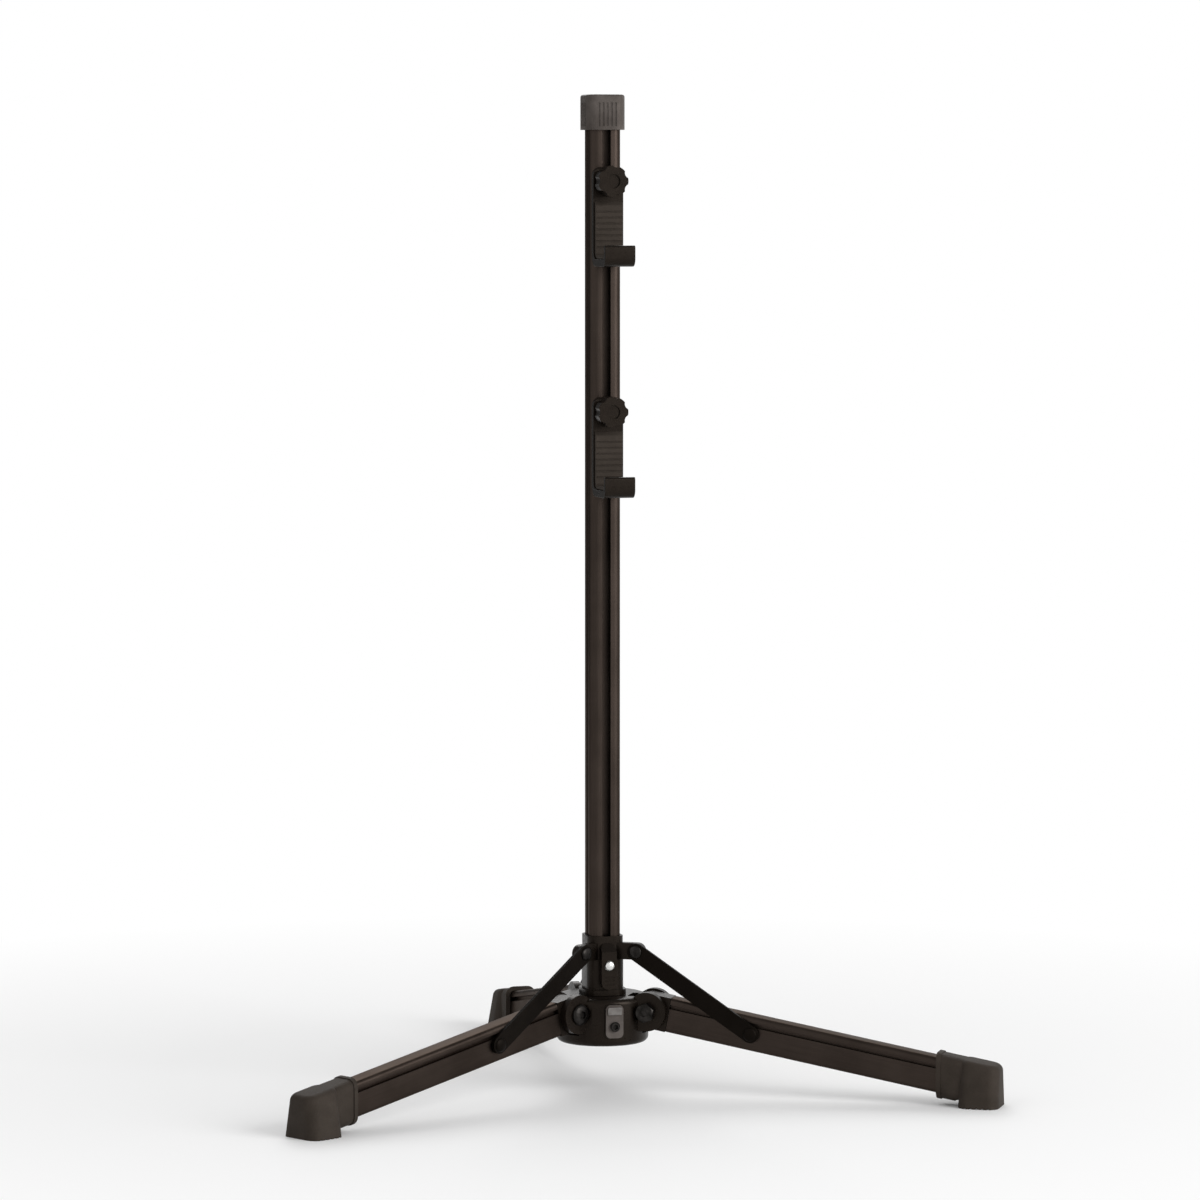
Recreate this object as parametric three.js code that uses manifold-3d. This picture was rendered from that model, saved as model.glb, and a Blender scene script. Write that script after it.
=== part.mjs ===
// Folding display stand: a slotted upright on a tripod base, with two open hooks that hold a frame tube.
// Millimetres, +Z up. The hooks face -Y. The origin is on the floor at the middle of the footprint.

import * as THREE from 'three';
import { mergeVertices } from 'three/addons/utils/BufferGeometryUtils.js';
import Module from 'manifold-3d';

const wasm = await Module();
wasm.setup();

// Clearances, and how far a cut runs past the face that it opens
const fitGap = 0.3;
const runGap = 0.4;
const cutOverrun = 3;

// Upright
const postWidth = 22.5;
const postCornerRadius = 5.5;
const postWall = 2;
const postLength = 660;
const slotOpening = 6;
const slotChannelWidth = 11;
const slotChannelDepth = 5;
const postGrooveWidth = 4;
const postGrooveDepth = 0.7;
const postGrooveDegrees = [0, 90, 180];

// Top cap
const capWidth = 28.5;
const capCornerRadius = 7.5;
const capHeight = 25;
const capRoof = 12;
const capBevel = 2;

// Hub
const hubRadius = 33;
const hubBottom = 35;
const hubHeight = 34;
const hubEdgeRadius = 4;
const hubSocketFloor = 11;
const postSeat = 5;
const cheekThickness = 5;
const cheekRadius = 14;
const slotEndGap = 3;
const slotFloorGap = 3.7;
const coverRadius = 27;
const coverThickness = 3;
const coverScrewCircle = 18;
const coverScrewRadius = 2;
const coverScrewHeadRadius = 3.6;
const coverScrewLength = 10;
const coverScrewHeadHeight = 2;
const frontPadWidth = 14;
const frontPadReach = 35;
const frontPadHeight = 25;
const frontPadDrop = 3;
const badgeWidth = 11;
const badgeHeight = 5.5;
const badgeDrop = 8;
const badgeProud = 0.8;
const setScrewDrop = 19;
const setScrewRadius = 2.5;
const setScrewHeadRadius = 3.6;
const setScrewHeadHeight = 2.4;

// Neck sleeve
const neckWidth = 27;
const neckCornerRadius = 7;
const neckRise = 26;
const neckFlangeWidth = 31;
const neckFlangeHeight = 4;
const neckSeat = 0.3;

// Leg pivots
const legPivotRadius = 36;
const legPivotDrop = 10.3;
const pivotBoltRadius = 4;
const pivotHeadRadius = 7.5;
const pivotHeadHeight = 3.5;
const pivotNutRadius = 7.2;
const pivotNutHeight = 6;

// Legs
const legWidth = 16;
const legHeight = 25;
const legCornerRadius = 3;
const legWall = 2;
const legTubeStart = 15;
const legGrooveWidth = 2.5;
const legGrooveDepth = 0.9;
const legGrooveDrop = 5.5;
const tenonLength = 22;
const lowerPinReach = 77;

// Foot caps
const footReach = 292;
const footAxisHeight = 13.56;
const footToe = 8;
const footLength = 45;
const footWall = 3;
const soleWidth = 35;
const padTopWidth = 24;
const padLength = 29;
const padTopRadius = 5;
const solePlanRadius = 8;
const toeRadius = 4;
const notchLength = 3;
const notchDepth = 2;

// Locking collar
const collarWidth = 26.4;
const collarCornerRadius = 6.8;
const collarHeight = 16.5;
const earRadius = 6;
const earPivotRadius = 27.5;
const earThickness = 5;
const tongueWidth = 11;
const tongueThickness = 6;
const tongueRise = 12;
const tongueBackset = 1;
const tongueGap = 0.8;

// Snap button in the tongue
const buttonRadius = 3.25;
const buttonDrop = 3.5;
const buttonProud = 2.6;
const buttonDome = 0.9;
const buttonFlangeRadius = 4.2;
const buttonFlangeThickness = 1;
const buttonStemRadius = 1.6;
const buttonLip = 1.2;
const retainerThickness = 0.6;
const buttonSpringWire = 0.25;
const buttonSpringTurns = 2;

// Braces
const braceThickness = 3;
const braceDepth = 12.5;
const bracePinRadius = 3;
const pinHeadRadius = 4.6;
const pinHeadHeight = 1.6;
const rivetHeadRadius = 4.8;
const rivetHeadHeight = 1.8;

// Frame hooks
const hookDrops = { upper: 109, lower: 272 };
const hookWidth = 22;
const hookHeight = 70;
const hookPlate = 5;
const hookArm = 5;
const hookReach = 50;
const hookTipRise = 13;
const hookTipThickness = 4;
const hookFillet = 6;
const hookOuterRadius = 9;
const hookEdgeRadius = 3;
const hookKeyHeight = 38;
const hookKeyDepth = 1.6;
const linerThickness = 2.5;
const linerWidth = 20;
const linerRise = 46;
const linerInset = 3;

// Clamp of each hook
const knobHeight = 60;
const knobRadius = 10.3;
const knobLobe = 0.7;
const knobLobes = 7;
const knobLength = 10.5;
const knobBevel = 1.2;
const knobBossRadius = 6;
const knobBossLength = 2;
const knobRecessRadius = 5;
const knobRecessDepth = 1.5;
const studRadius = 2.5;
const studSink = 6;
const washerRadius = 7;
const washerThickness = 1.2;
const nutWidth = 10.2;
const nutHeight = 14;
const nutThickness = 3.6;

// Numbers of facets
const cornerSteps = 4;
const roundSteps = 20;
const pinSteps = 12;
const hubSteps = 36;

// Bearings of the legs, counted from +X towards +Y
const rearLegDegrees = 90;
const legSpreadDegrees = 120;
const legBearings = {
  front_left: rearLegDegrees + legSpreadDegrees,
  front_right: rearLegDegrees - legSpreadDegrees,
  rear: rearLegDegrees,
};

// Side of each leg that its brace lies on, 1 for the side that the bearings count towards
const braceSides = { front_left: 1, front_right: -1, rear: -1 };

// Places that follow from the sizes above
const hubTop = hubBottom + hubHeight;
const hubSocketBottom = hubBottom + hubSocketFloor;
const frontPadTop = hubTop - frontPadDrop;
const setScrewHeight = hubTop - setScrewDrop;
const postBottom = hubBottom + postSeat;
const postTop = postBottom + postLength;
const neckTop = hubTop + neckRise;
const buttonHeight = neckTop - buttonDrop;
const legPivotHeight = hubTop - legPivotDrop;
const slotFloor = legPivotHeight - legHeight / 2 - slotFloorGap;
const slotInnerRadius = legPivotRadius - legHeight / 2 - slotEndGap;
const legSlope = Math.atan2(legPivotHeight - footAxisHeight, footReach - legPivotRadius);
const legTubeEnd = (footReach - legPivotRadius) / Math.cos(legSlope) - footToe;

const blackMetal = new THREE.MeshStandardMaterial({ color: 0x26211f, roughness: 0.42, metalness: 0.8 });
const blackPaint = new THREE.MeshStandardMaterial({ color: 0x121110, roughness: 0.5, metalness: 0.3 });
const blackPlastic = new THREE.MeshStandardMaterial({ color: 0x1d1b1b, roughness: 0.6, metalness: 0 });
const greyRubber = new THREE.MeshStandardMaterial({ color: 0x2d2a29, roughness: 0.85, metalness: 0 });
const brightSteel = new THREE.MeshStandardMaterial({ color: 0xc9c9c6, roughness: 0.25, metalness: 1 });
const darkSteel = new THREE.MeshStandardMaterial({ color: 0x4a4745, roughness: 0.35, metalness: 0.9 });

// Solids

function toSolid(geometry) {
  const bare = geometry.clone();
  bare.deleteAttribute('normal');
  bare.deleteAttribute('uv');
  const merged = mergeVertices(bare);
  const vertProperties = merged.getAttribute('position').array;
  const triVerts = new Uint32Array(merged.index.array);
  return new wasm.Manifold(new wasm.Mesh({ numProp: 3, vertProperties, triVerts }));
}

function toGeometry(solid) {
  const mesh = solid.getMesh();
  const geometry = new THREE.BufferGeometry();
  geometry.setAttribute('position', new THREE.BufferAttribute(mesh.vertProperties, 3));
  geometry.setIndex(new THREE.BufferAttribute(mesh.triVerts, 1));
  geometry.computeVertexNormals();
  return geometry;
}

function join(...pieces) {
  return toGeometry(pieces.map(toSolid).reduce((whole, piece) => whole.add(piece)));
}

function cut(blank, ...tools) {
  return toGeometry(tools.map(toSolid).reduce((whole, tool) => whole.subtract(tool), toSolid(blank)));
}

function overlapOf(...pieces) {
  return toGeometry(pieces.map(toSolid).reduce((whole, piece) => whole.intersect(piece)));
}

// Outlines

function arc(centreX, centreY, radius, startDegrees, endDegrees, steps = cornerSteps) {
  const points = [];
  for (let step = 0; step <= steps; step += 1) {
    const angle = THREE.MathUtils.degToRad(startDegrees + ((endDegrees - startDegrees) * step) / steps);
    points.push(new THREE.Vector2(centreX + radius * Math.cos(angle), centreY + radius * Math.sin(angle)));
  }
  return points;
}

function point(x, y) {
  return new THREE.Vector2(x, y);
}

function roundedRectangle(width, height, radius) {
  const x = width / 2 - radius;
  const y = height / 2 - radius;
  return new THREE.Shape([
    ...arc(x, y, radius, 0, 90),
    ...arc(-x, y, radius, 90, 180),
    ...arc(-x, -y, radius, 180, 270),
    ...arc(x, -y, radius, 270, 360),
  ]);
}

// Prisms: an outline swept straight along one axis

const xAxis = new THREE.Vector3(1, 0, 0);
const yAxis = new THREE.Vector3(0, 1, 0);
const zAxis = new THREE.Vector3(0, 0, 1);

function prism(shape, from, to, acrossAxis, upAxis) {
  const sweepAxis = new THREE.Vector3().crossVectors(acrossAxis, upAxis);
  const geometry = new THREE.ExtrudeGeometry(shape, { depth: to - from, bevelEnabled: false });
  geometry.translate(0, 0, from);
  geometry.applyMatrix4(new THREE.Matrix4().makeBasis(acrossAxis, upAxis, sweepAxis));
  return geometry;
}

function upwards(shape, from, to) {
  return prism(shape, from, to, xAxis, yAxis);
}

function outwards(shape, from, to) {
  return prism(shape, from, to, yAxis, zAxis);
}

function forwards(shape, from, to) {
  return prism(shape, from, to, xAxis, zAxis);
}

// A side profile drawn as (outwards, up), as thick as width across the leg's plane
function legSide(shape, width) {
  return prism(shape, -width / 2, width / 2, xAxis, zAxis);
}

// A side profile drawn as (forwards, up), as thick as width across the hook's plane
function hookSide(shape, width) {
  return prism(shape, -width / 2, width / 2, yAxis.clone().negate(), zAxis);
}

function box(x0, x1, y0, y1, z0, z1) {
  const geometry = new THREE.BoxGeometry(x1 - x0, y1 - y0, z1 - z0);
  return geometry.translate((x0 + x1) / 2, (y0 + y1) / 2, (z0 + z1) / 2);
}

// Turned pieces: a profile of (radius, distance along the axis)

function turnedAcross(profile, steps = roundSteps) {
  return new THREE.LatheGeometry(profile, steps);
}

function turnedUp(profile, steps = roundSteps) {
  return turnedAcross(profile, steps).rotateX(Math.PI / 2);
}

function turnedForward(profile, steps = roundSteps) {
  return turnedAcross(profile, steps).rotateX(Math.PI);
}

function rodProfile(radius, from, to) {
  return [point(0, from), point(radius, from), point(radius, to), point(0, to)];
}

function rodUp(radius, from, to, steps = roundSteps) {
  return turnedUp(rodProfile(radius, from, to), steps);
}

function rodForward(radius, from, to, steps = roundSteps) {
  return turnedForward(rodProfile(radius, from, to), steps);
}

function rodAcross(radius, from, to, steps = roundSteps) {
  return turnedAcross(rodProfile(radius, from, to), steps);
}

// Groups

const stand = new THREE.Group();

function addPiece(parent, name, geometry, material) {
  const mesh = new THREE.Mesh(geometry, material.clone());
  mesh.name = name;
  parent.add(mesh);
  return mesh;
}

function spokeGroup(azimuthDegrees) {
  const group = new THREE.Group();
  group.rotation.z = THREE.MathUtils.degToRad(azimuthDegrees);
  stand.add(group);
  return group;
}

function spoke(geometry, azimuthDegrees) {
  return geometry.rotateZ(THREE.MathUtils.degToRad(azimuthDegrees));
}

// Upright

const postHalf = postWidth / 2;
const slotBack = postHalf - postWall - slotChannelDepth;

function makePost() {
  const low = postBottom - cutOverrun;
  const high = postTop + cutOverrun;
  const blank = upwards(roundedRectangle(postWidth, postWidth, postCornerRadius), postBottom, postTop);
  const opening = box(-slotOpening / 2, slotOpening / 2, -postHalf - cutOverrun, -slotBack, low, high);
  const channelFront = -postHalf + postWall;
  const channel = box(-slotChannelWidth / 2, slotChannelWidth / 2, channelFront, -slotBack, low, high);
  const hollowDepth = postHalf - postWall + slotBack - postWall;
  const hollowWidth = postWidth - 2 * postWall;
  const hollow = upwards(roundedRectangle(hollowWidth, hollowDepth, postCornerRadius - postWall), low, high);
  hollow.translate(0, postHalf - postWall - hollowDepth / 2, 0);
  const grooves = postGrooveDegrees.map((azimuth) => {
    const groove = box(
      postHalf - postGrooveDepth, postHalf + cutOverrun,
      -postGrooveWidth / 2, postGrooveWidth / 2,
      low, high,
    );
    return spoke(groove, azimuth);
  });
  const catchHole = rodForward(buttonRadius + fitGap, postHalf - postWall - fitGap, postHalf + cutOverrun);
  catchHole.translate(0, 0, buttonHeight);
  return cut(blank, opening, channel, hollow, ...grooves, catchHole);
}

function makeTopCap() {
  const coreWidth = capWidth - 2 * capBevel;
  const shape = roundedRectangle(coreWidth, coreWidth, capCornerRadius - capBevel);
  const shell = new THREE.ExtrudeGeometry(shape, {
    depth: capHeight - 2 * capBevel,
    bevelThickness: capBevel,
    bevelSize: capBevel,
    bevelSegments: 3,
  });
  const capBottom = postTop + fitGap + capRoof - capHeight;
  shell.translate(0, 0, capBottom + capBevel);
  const socketWidth = postWidth + 2 * fitGap;
  const socketShape = roundedRectangle(socketWidth, socketWidth, postCornerRadius + fitGap);
  return cut(shell, upwards(socketShape, capBottom - cutOverrun, postTop + fitGap));
}

addPiece(stand, 'post_extrusion', makePost(), blackMetal);
addPiece(stand, 'post_top_cap', makeTopCap(), blackPlastic);

// Hub

const cheekGap = legWidth + 2 * runGap;
const cheekOuter = cheekGap + 2 * cheekThickness;
const coverRecessTop = hubBottom + coverThickness + 2 * fitGap;

function makeHub() {
  const drumProfile = [
    point(0, hubBottom),
    ...arc(hubRadius - hubEdgeRadius, hubBottom + hubEdgeRadius, hubEdgeRadius, -90, 0),
    ...arc(hubRadius - hubEdgeRadius, hubTop - hubEdgeRadius, hubEdgeRadius, 0, 90),
    point(0, hubTop),
  ];
  const drum = turnedUp(drumProfile, hubSteps);
  const cheekShape = new THREE.Shape([
    point(slotInnerRadius, legPivotHeight - cheekRadius),
    ...arc(legPivotRadius, legPivotHeight, cheekRadius, -90, 110, 2 * cornerSteps),
    point(slotInnerRadius, hubTop - hubEdgeRadius),
  ]);
  const padShape = roundedRectangle(frontPadWidth, frontPadHeight, hubEdgeRadius);
  const frontPad = forwards(padShape, neckWidth / 2, frontPadReach);
  frontPad.translate(0, 0, frontPadTop - frontPadHeight / 2);
  const badgeShape = roundedRectangle(badgeWidth, badgeHeight, badgeProud);
  const badge = forwards(badgeShape, neckWidth / 2, frontPadReach + badgeProud);
  badge.translate(0, 0, hubTop - badgeDrop);
  const azimuths = Object.values(legBearings);
  const cheeks = azimuths.map((azimuth) => spoke(legSide(cheekShape, cheekOuter), azimuth));
  const slots = azimuths.map((azimuth) => {
    const slotEnd = legPivotRadius + cheekRadius + cutOverrun;
    const slotTop = legPivotHeight + cheekRadius + cutOverrun;
    return spoke(box(slotInnerRadius, slotEnd, -cheekGap / 2, cheekGap / 2, slotFloor, slotTop), azimuth);
  });
  const boltHoles = azimuths.map((azimuth) => {
    const hole = rodAcross(pivotBoltRadius + fitGap, -cheekOuter, cheekOuter);
    return spoke(hole.translate(legPivotRadius, 0, legPivotHeight), azimuth);
  });
  const spotFaces = azimuths.flatMap((azimuth) => {
    const depth = cheekOuter / 2 + pivotNutHeight + 2 * fitGap;
    const faces = [
      rodAcross(pivotHeadRadius + runGap, cheekOuter / 2, depth),
      rodAcross(pivotHeadRadius + runGap, -depth, -cheekOuter / 2),
    ];
    return faces.map((face) => spoke(face.translate(legPivotRadius, 0, legPivotHeight), azimuth));
  });
  const screwHoles = azimuths.map((azimuth) => {
    const holeTop = hubBottom + coverScrewLength + 2 * fitGap;
    const hole = rodUp(coverScrewRadius + fitGap, hubBottom - cutOverrun, holeTop, pinSteps);
    return spoke(hole.translate(coverScrewCircle, 0, 0), azimuth + 180);
  });
  const socketWidth = neckWidth + 2 * fitGap;
  const neckShape = roundedRectangle(socketWidth, socketWidth, neckCornerRadius + fitGap);
  const neckSocket = upwards(neckShape, hubSocketBottom, hubTop + cutOverrun);
  const postHoleWidth = postWidth + 2 * fitGap;
  const postHoleShape = roundedRectangle(postHoleWidth, postHoleWidth, postCornerRadius + fitGap);
  const postSocket = upwards(postHoleShape, postBottom - fitGap, hubSocketBottom + cutOverrun);
  const recess = rodUp(coverRadius, hubBottom - cutOverrun, coverRecessTop, hubSteps);
  const setScrewHole = rodForward(setScrewRadius + fitGap, 0, frontPadReach + cutOverrun);
  setScrewHole.translate(0, 0, setScrewHeight);
  const body = join(drum, ...cheeks, frontPad, badge);
  const openings = [...slots, ...boltHoles, ...spotFaces, ...screwHoles];
  return cut(body, ...openings, neckSocket, postSocket, recess, setScrewHole);
}

function makeBottomCover() {
  const top = hubBottom + fitGap + coverThickness;
  const disc = rodUp(coverRadius - fitGap, hubBottom + fitGap, top, hubSteps);
  const holes = Object.values(legBearings).map((azimuth) => {
    const shank = rodProfile(coverScrewRadius + fitGap, hubBottom - cutOverrun, top + cutOverrun);
    const headTop = hubBottom + 2 * fitGap + coverScrewHeadHeight;
    const head = rodProfile(coverScrewHeadRadius + fitGap, hubBottom - cutOverrun, headTop);
    const hole = join(turnedUp(shank, pinSteps), turnedUp(head, pinSteps));
    return spoke(hole.translate(coverScrewCircle, 0, 0), azimuth + 180);
  });
  return cut(disc, ...holes);
}

function makeCoverScrew() {
  const low = hubBottom + fitGap;
  const profile = [
    point(0, low),
    point(coverScrewHeadRadius, low),
    point(coverScrewHeadRadius, low + coverScrewHeadHeight),
    point(coverScrewRadius, low + coverScrewHeadHeight),
    point(coverScrewRadius, hubBottom + coverScrewLength),
    point(0, hubBottom + coverScrewLength),
  ];
  const driveDepth = coverScrewHeadHeight / 2;
  const drive = rodUp(coverScrewRadius, low - cutOverrun, low + driveDepth, 6);
  return cut(turnedUp(profile, pinSteps), drive).translate(coverScrewCircle, 0, 0);
}

function makeSetScrew() {
  const seat = frontPadReach + fitGap;
  const profile = [
    point(0, neckWidth / 2 + fitGap),
    point(setScrewRadius, neckWidth / 2 + fitGap),
    point(setScrewRadius, seat),
    point(setScrewHeadRadius, seat),
    point(setScrewHeadRadius, seat + setScrewHeadHeight - badgeProud),
    point(setScrewHeadRadius - badgeProud, seat + setScrewHeadHeight),
    point(0, seat + setScrewHeadHeight),
  ];
  const head = seat + setScrewHeadHeight;
  const drive = rodForward(setScrewRadius - badgeProud / 2, seat + fitGap, head + cutOverrun, 6);
  return cut(turnedForward(profile, pinSteps), drive).translate(0, 0, setScrewHeight);
}

function makeNeck() {
  const low = hubSocketBottom + neckSeat;
  const flangeLow = hubTop + neckSeat;
  const shape = roundedRectangle(neckWidth, neckWidth, neckCornerRadius);
  const flangeRadius = neckCornerRadius + (neckFlangeWidth - neckWidth) / 2;
  const flangeShape = roundedRectangle(neckFlangeWidth, neckFlangeWidth, flangeRadius);
  const body = join(
    upwards(shape, low, neckTop),
    upwards(flangeShape, flangeLow, flangeLow + neckFlangeHeight),
  );
  const boreWidth = postWidth + 2 * fitGap;
  const boreShape = roundedRectangle(boreWidth, boreWidth, postCornerRadius + fitGap);
  const bore = upwards(boreShape, low - cutOverrun, neckTop + cutOverrun);
  const catchHole = rodForward(buttonRadius + fitGap, postHalf, neckWidth);
  catchHole.translate(0, 0, buttonHeight);
  return cut(body, bore, catchHole);
}

addPiece(stand, 'hub_casting', makeHub(), blackPlastic);
addPiece(stand, 'hub_bottom_cover', makeBottomCover(), blackPlastic);
for (const [index, azimuth] of Object.values(legBearings).entries()) {
  addPiece(spokeGroup(azimuth + 180), `hub_cover_screw_${index + 1}`, makeCoverScrew(), darkSteel);
}
addPiece(stand, 'hub_set_screw', makeSetScrew(), darkSteel);
addPiece(stand, 'neck_sleeve', makeNeck(), blackPlastic);

// Legs, each built along +X from its pivot

function onLegPivot(geometry) {
  return geometry.rotateY(legSlope).translate(legPivotRadius, 0, legPivotHeight);
}

function makeLegTube() {
  const outer = roundedRectangle(legWidth, legHeight, legCornerRadius);
  const innerRadius = legCornerRadius - legWall / 2;
  const inner = roundedRectangle(legWidth - 2 * legWall, legHeight - 2 * legWall, innerRadius);
  const start = legTubeStart + fitGap;
  const grooveTop = legHeight / 2 - legGrooveDrop;
  const grooves = [-1, 1].map((side) => {
    const deep = side * (legWidth / 2 - legGrooveDepth);
    const clear = side * (legWidth / 2 + cutOverrun);
    const y0 = Math.min(deep, clear);
    const y1 = Math.max(deep, clear);
    return box(0, legTubeEnd + cutOverrun, y0, y1, grooveTop - legGrooveWidth, grooveTop);
  });
  return cut(
    outwards(outer, start, legTubeEnd),
    outwards(inner, 0, legTubeEnd + cutOverrun),
    rodAcross(bracePinRadius + fitGap, -legWidth, legWidth, pinSteps).translate(lowerPinReach, 0, 0),
    ...grooves,
  );
}

function makeLegRoot() {
  const half = legHeight / 2;
  const eye = new THREE.Shape([
    ...arc(0, 0, half, 90, 270, roundSteps / 2),
    point(legTubeStart, -half),
    point(legTubeStart, half),
  ]);
  const tenonWidth = legWidth - 2 * legWall - 2 * fitGap;
  const tenonHeight = legHeight - 2 * legWall - 2 * fitGap;
  const tenon = roundedRectangle(tenonWidth, tenonHeight, legCornerRadius - legWall / 2);
  return cut(
    join(legSide(eye, legWidth), outwards(tenon, legTubeStart - legWall, legTubeStart + tenonLength)),
    rodAcross(pivotBoltRadius + fitGap, -legWidth, legWidth),
  );
}

function legAxisHeight(reach) {
  return legPivotHeight - (reach - legPivotRadius) * Math.tan(legSlope);
}

// Rubber cap: a sleeve round the leg's end, a notch, and a flared pad with a flat sole
function makeFootCap() {
  const halfTall = legHeight / 2 / Math.cos(legSlope) + footWall;
  const start = footReach - footLength;
  const heel = footReach - padLength;
  const top = (reach) => legAxisHeight(reach) + halfTall;
  const bottom = (reach) => legAxisHeight(reach) - halfTall;
  const side = new THREE.Shape([
    point(start, bottom(start)),
    point(heel - notchLength, bottom(heel - notchLength)),
    point(heel - notchLength, bottom(heel) + notchDepth),
    point(heel, bottom(heel) + notchDepth),
    point(heel, 0),
    ...arc(footReach - toeRadius, toeRadius, toeRadius, -90, 0),
    ...arc(footReach - toeRadius, top(footReach) - toeRadius, toeRadius, 0, 80),
    point(start, top(start)),
  ]);
  const sleeveWidth = legWidth + 2 * footWall;
  const sleeveTall = 2 * halfTall * Math.cos(legSlope);
  const sleeveShape = roundedRectangle(sleeveWidth, sleeveTall, legCornerRadius + footWall);
  const sleeveBar = onLegPivot(outwards(sleeveShape, legTubeStart, footReach));
  const padHigh = top(heel) + cutOverrun;
  const padShape = new THREE.Shape([
    point(-soleWidth / 2, 0),
    point(soleWidth / 2, 0),
    point(soleWidth / 2, footWall),
    point(padTopWidth / 2, padHigh - cutOverrun),
    point(padTopWidth / 2, padHigh),
    point(-padTopWidth / 2, padHigh),
    point(-padTopWidth / 2, padHigh - cutOverrun),
    point(-soleWidth / 2, footWall),
  ]);
  const plan = roundedRectangle(padLength, soleWidth, solePlanRadius);
  const planBar = upwards(plan, 0, padHigh).translate(footReach - padLength / 2, 0, 0);
  const topShape = roundedRectangle(soleWidth, 2 * padHigh, 2 * padTopRadius);
  const topBar = outwards(topShape, heel, footReach).translate(0, 0, top(heel) - padHigh);
  const sleeve = overlapOf(
    legSide(side, soleWidth),
    sleeveBar,
    box(start, heel + footWall, -soleWidth, soleWidth, 0, padHigh),
  );
  const pad = overlapOf(legSide(side, soleWidth), outwards(padShape, heel, footReach), planBar, topBar);
  const legShape = roundedRectangle(legWidth + 2 * fitGap, legHeight + 2 * fitGap, legCornerRadius);
  return cut(join(sleeve, pad), onLegPivot(outwards(legShape, legTubeStart, legTubeEnd + fitGap)));
}

function makePivotBolt() {
  const seat = cheekOuter / 2 + fitGap;
  const profile = [
    point(0, -seat - pivotNutHeight / 2),
    point(pivotBoltRadius, -seat - pivotNutHeight / 2),
    point(pivotBoltRadius, seat),
    point(pivotHeadRadius, seat),
    point(pivotHeadRadius, seat + pivotHeadHeight / 2),
    point(pivotHeadRadius - pivotHeadHeight / 2, seat + pivotHeadHeight),
    point(0, seat + pivotHeadHeight),
  ];
  const driveDeep = seat + pivotHeadHeight / 3;
  const driveEnd = seat + pivotHeadHeight + cutOverrun;
  const drive = rodAcross(pivotBoltRadius - pivotHeadHeight / 3, driveDeep, driveEnd, 6);
  return cut(turnedAcross(profile), drive);
}

function makePivotNut() {
  const seat = cheekOuter / 2 + fitGap;
  const nut = rodAcross(pivotNutRadius, -seat - pivotNutHeight, -seat, 6);
  return cut(nut, rodAcross(pivotBoltRadius + fitGap, -seat - pivotNutHeight / 2 - fitGap, 0));
}

// Profile of a pin with a head below the low seat, drawn up to the high one
function pinProfile(lowSeat, highSeat) {
  return [
    point(0, lowSeat - pinHeadHeight),
    point(pinHeadRadius - pinHeadHeight / 2, lowSeat - pinHeadHeight),
    point(pinHeadRadius, lowSeat - pinHeadHeight / 2),
    point(pinHeadRadius, lowSeat),
    point(bracePinRadius, lowSeat),
    point(bracePinRadius, highSeat),
  ];
}

// Turned over along the leg, so that it faces the other side
function facing(side, geometry) {
  return geometry.rotateX(side > 0 ? 0 : Math.PI);
}

function makeLowerPin(side) {
  const end = legWidth / 2;
  return facing(side, turnedAcross([...pinProfile(-end - fitGap, end), point(0, end)], pinSteps));
}

for (const [name, azimuth] of Object.entries(legBearings)) {
  const legPlane = spokeGroup(azimuth);
  const pivot = new THREE.Group();
  pivot.position.set(legPivotRadius, 0, legPivotHeight);
  pivot.rotation.y = legSlope;
  legPlane.add(pivot);
  addPiece(pivot, `leg_tube_${name}`, makeLegTube(), blackMetal);
  addPiece(pivot, `leg_root_${name}`, makeLegRoot(), blackPlastic);
  addPiece(pivot, `leg_pivot_bolt_${name}`, makePivotBolt(), darkSteel);
  addPiece(pivot, `leg_pivot_nut_${name}`, makePivotNut(), darkSteel);
  const lowerPin = makeLowerPin(braceSides[name]);
  addPiece(pivot, `brace_lower_pin_${name}`, lowerPin, darkSteel).position.x = lowerPinReach;
  addPiece(legPlane, `foot_cap_${name}`, makeFootCap(), greyRubber);
}

// Locking collar

const collarBottom = neckTop + fitGap;
const collarTop = collarBottom + collarHeight;
const earPivotHeight = collarBottom + earRadius;
const tongueBack = neckWidth / 2 + fitGap;
const tongueFront = tongueBack + tongueThickness;

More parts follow.
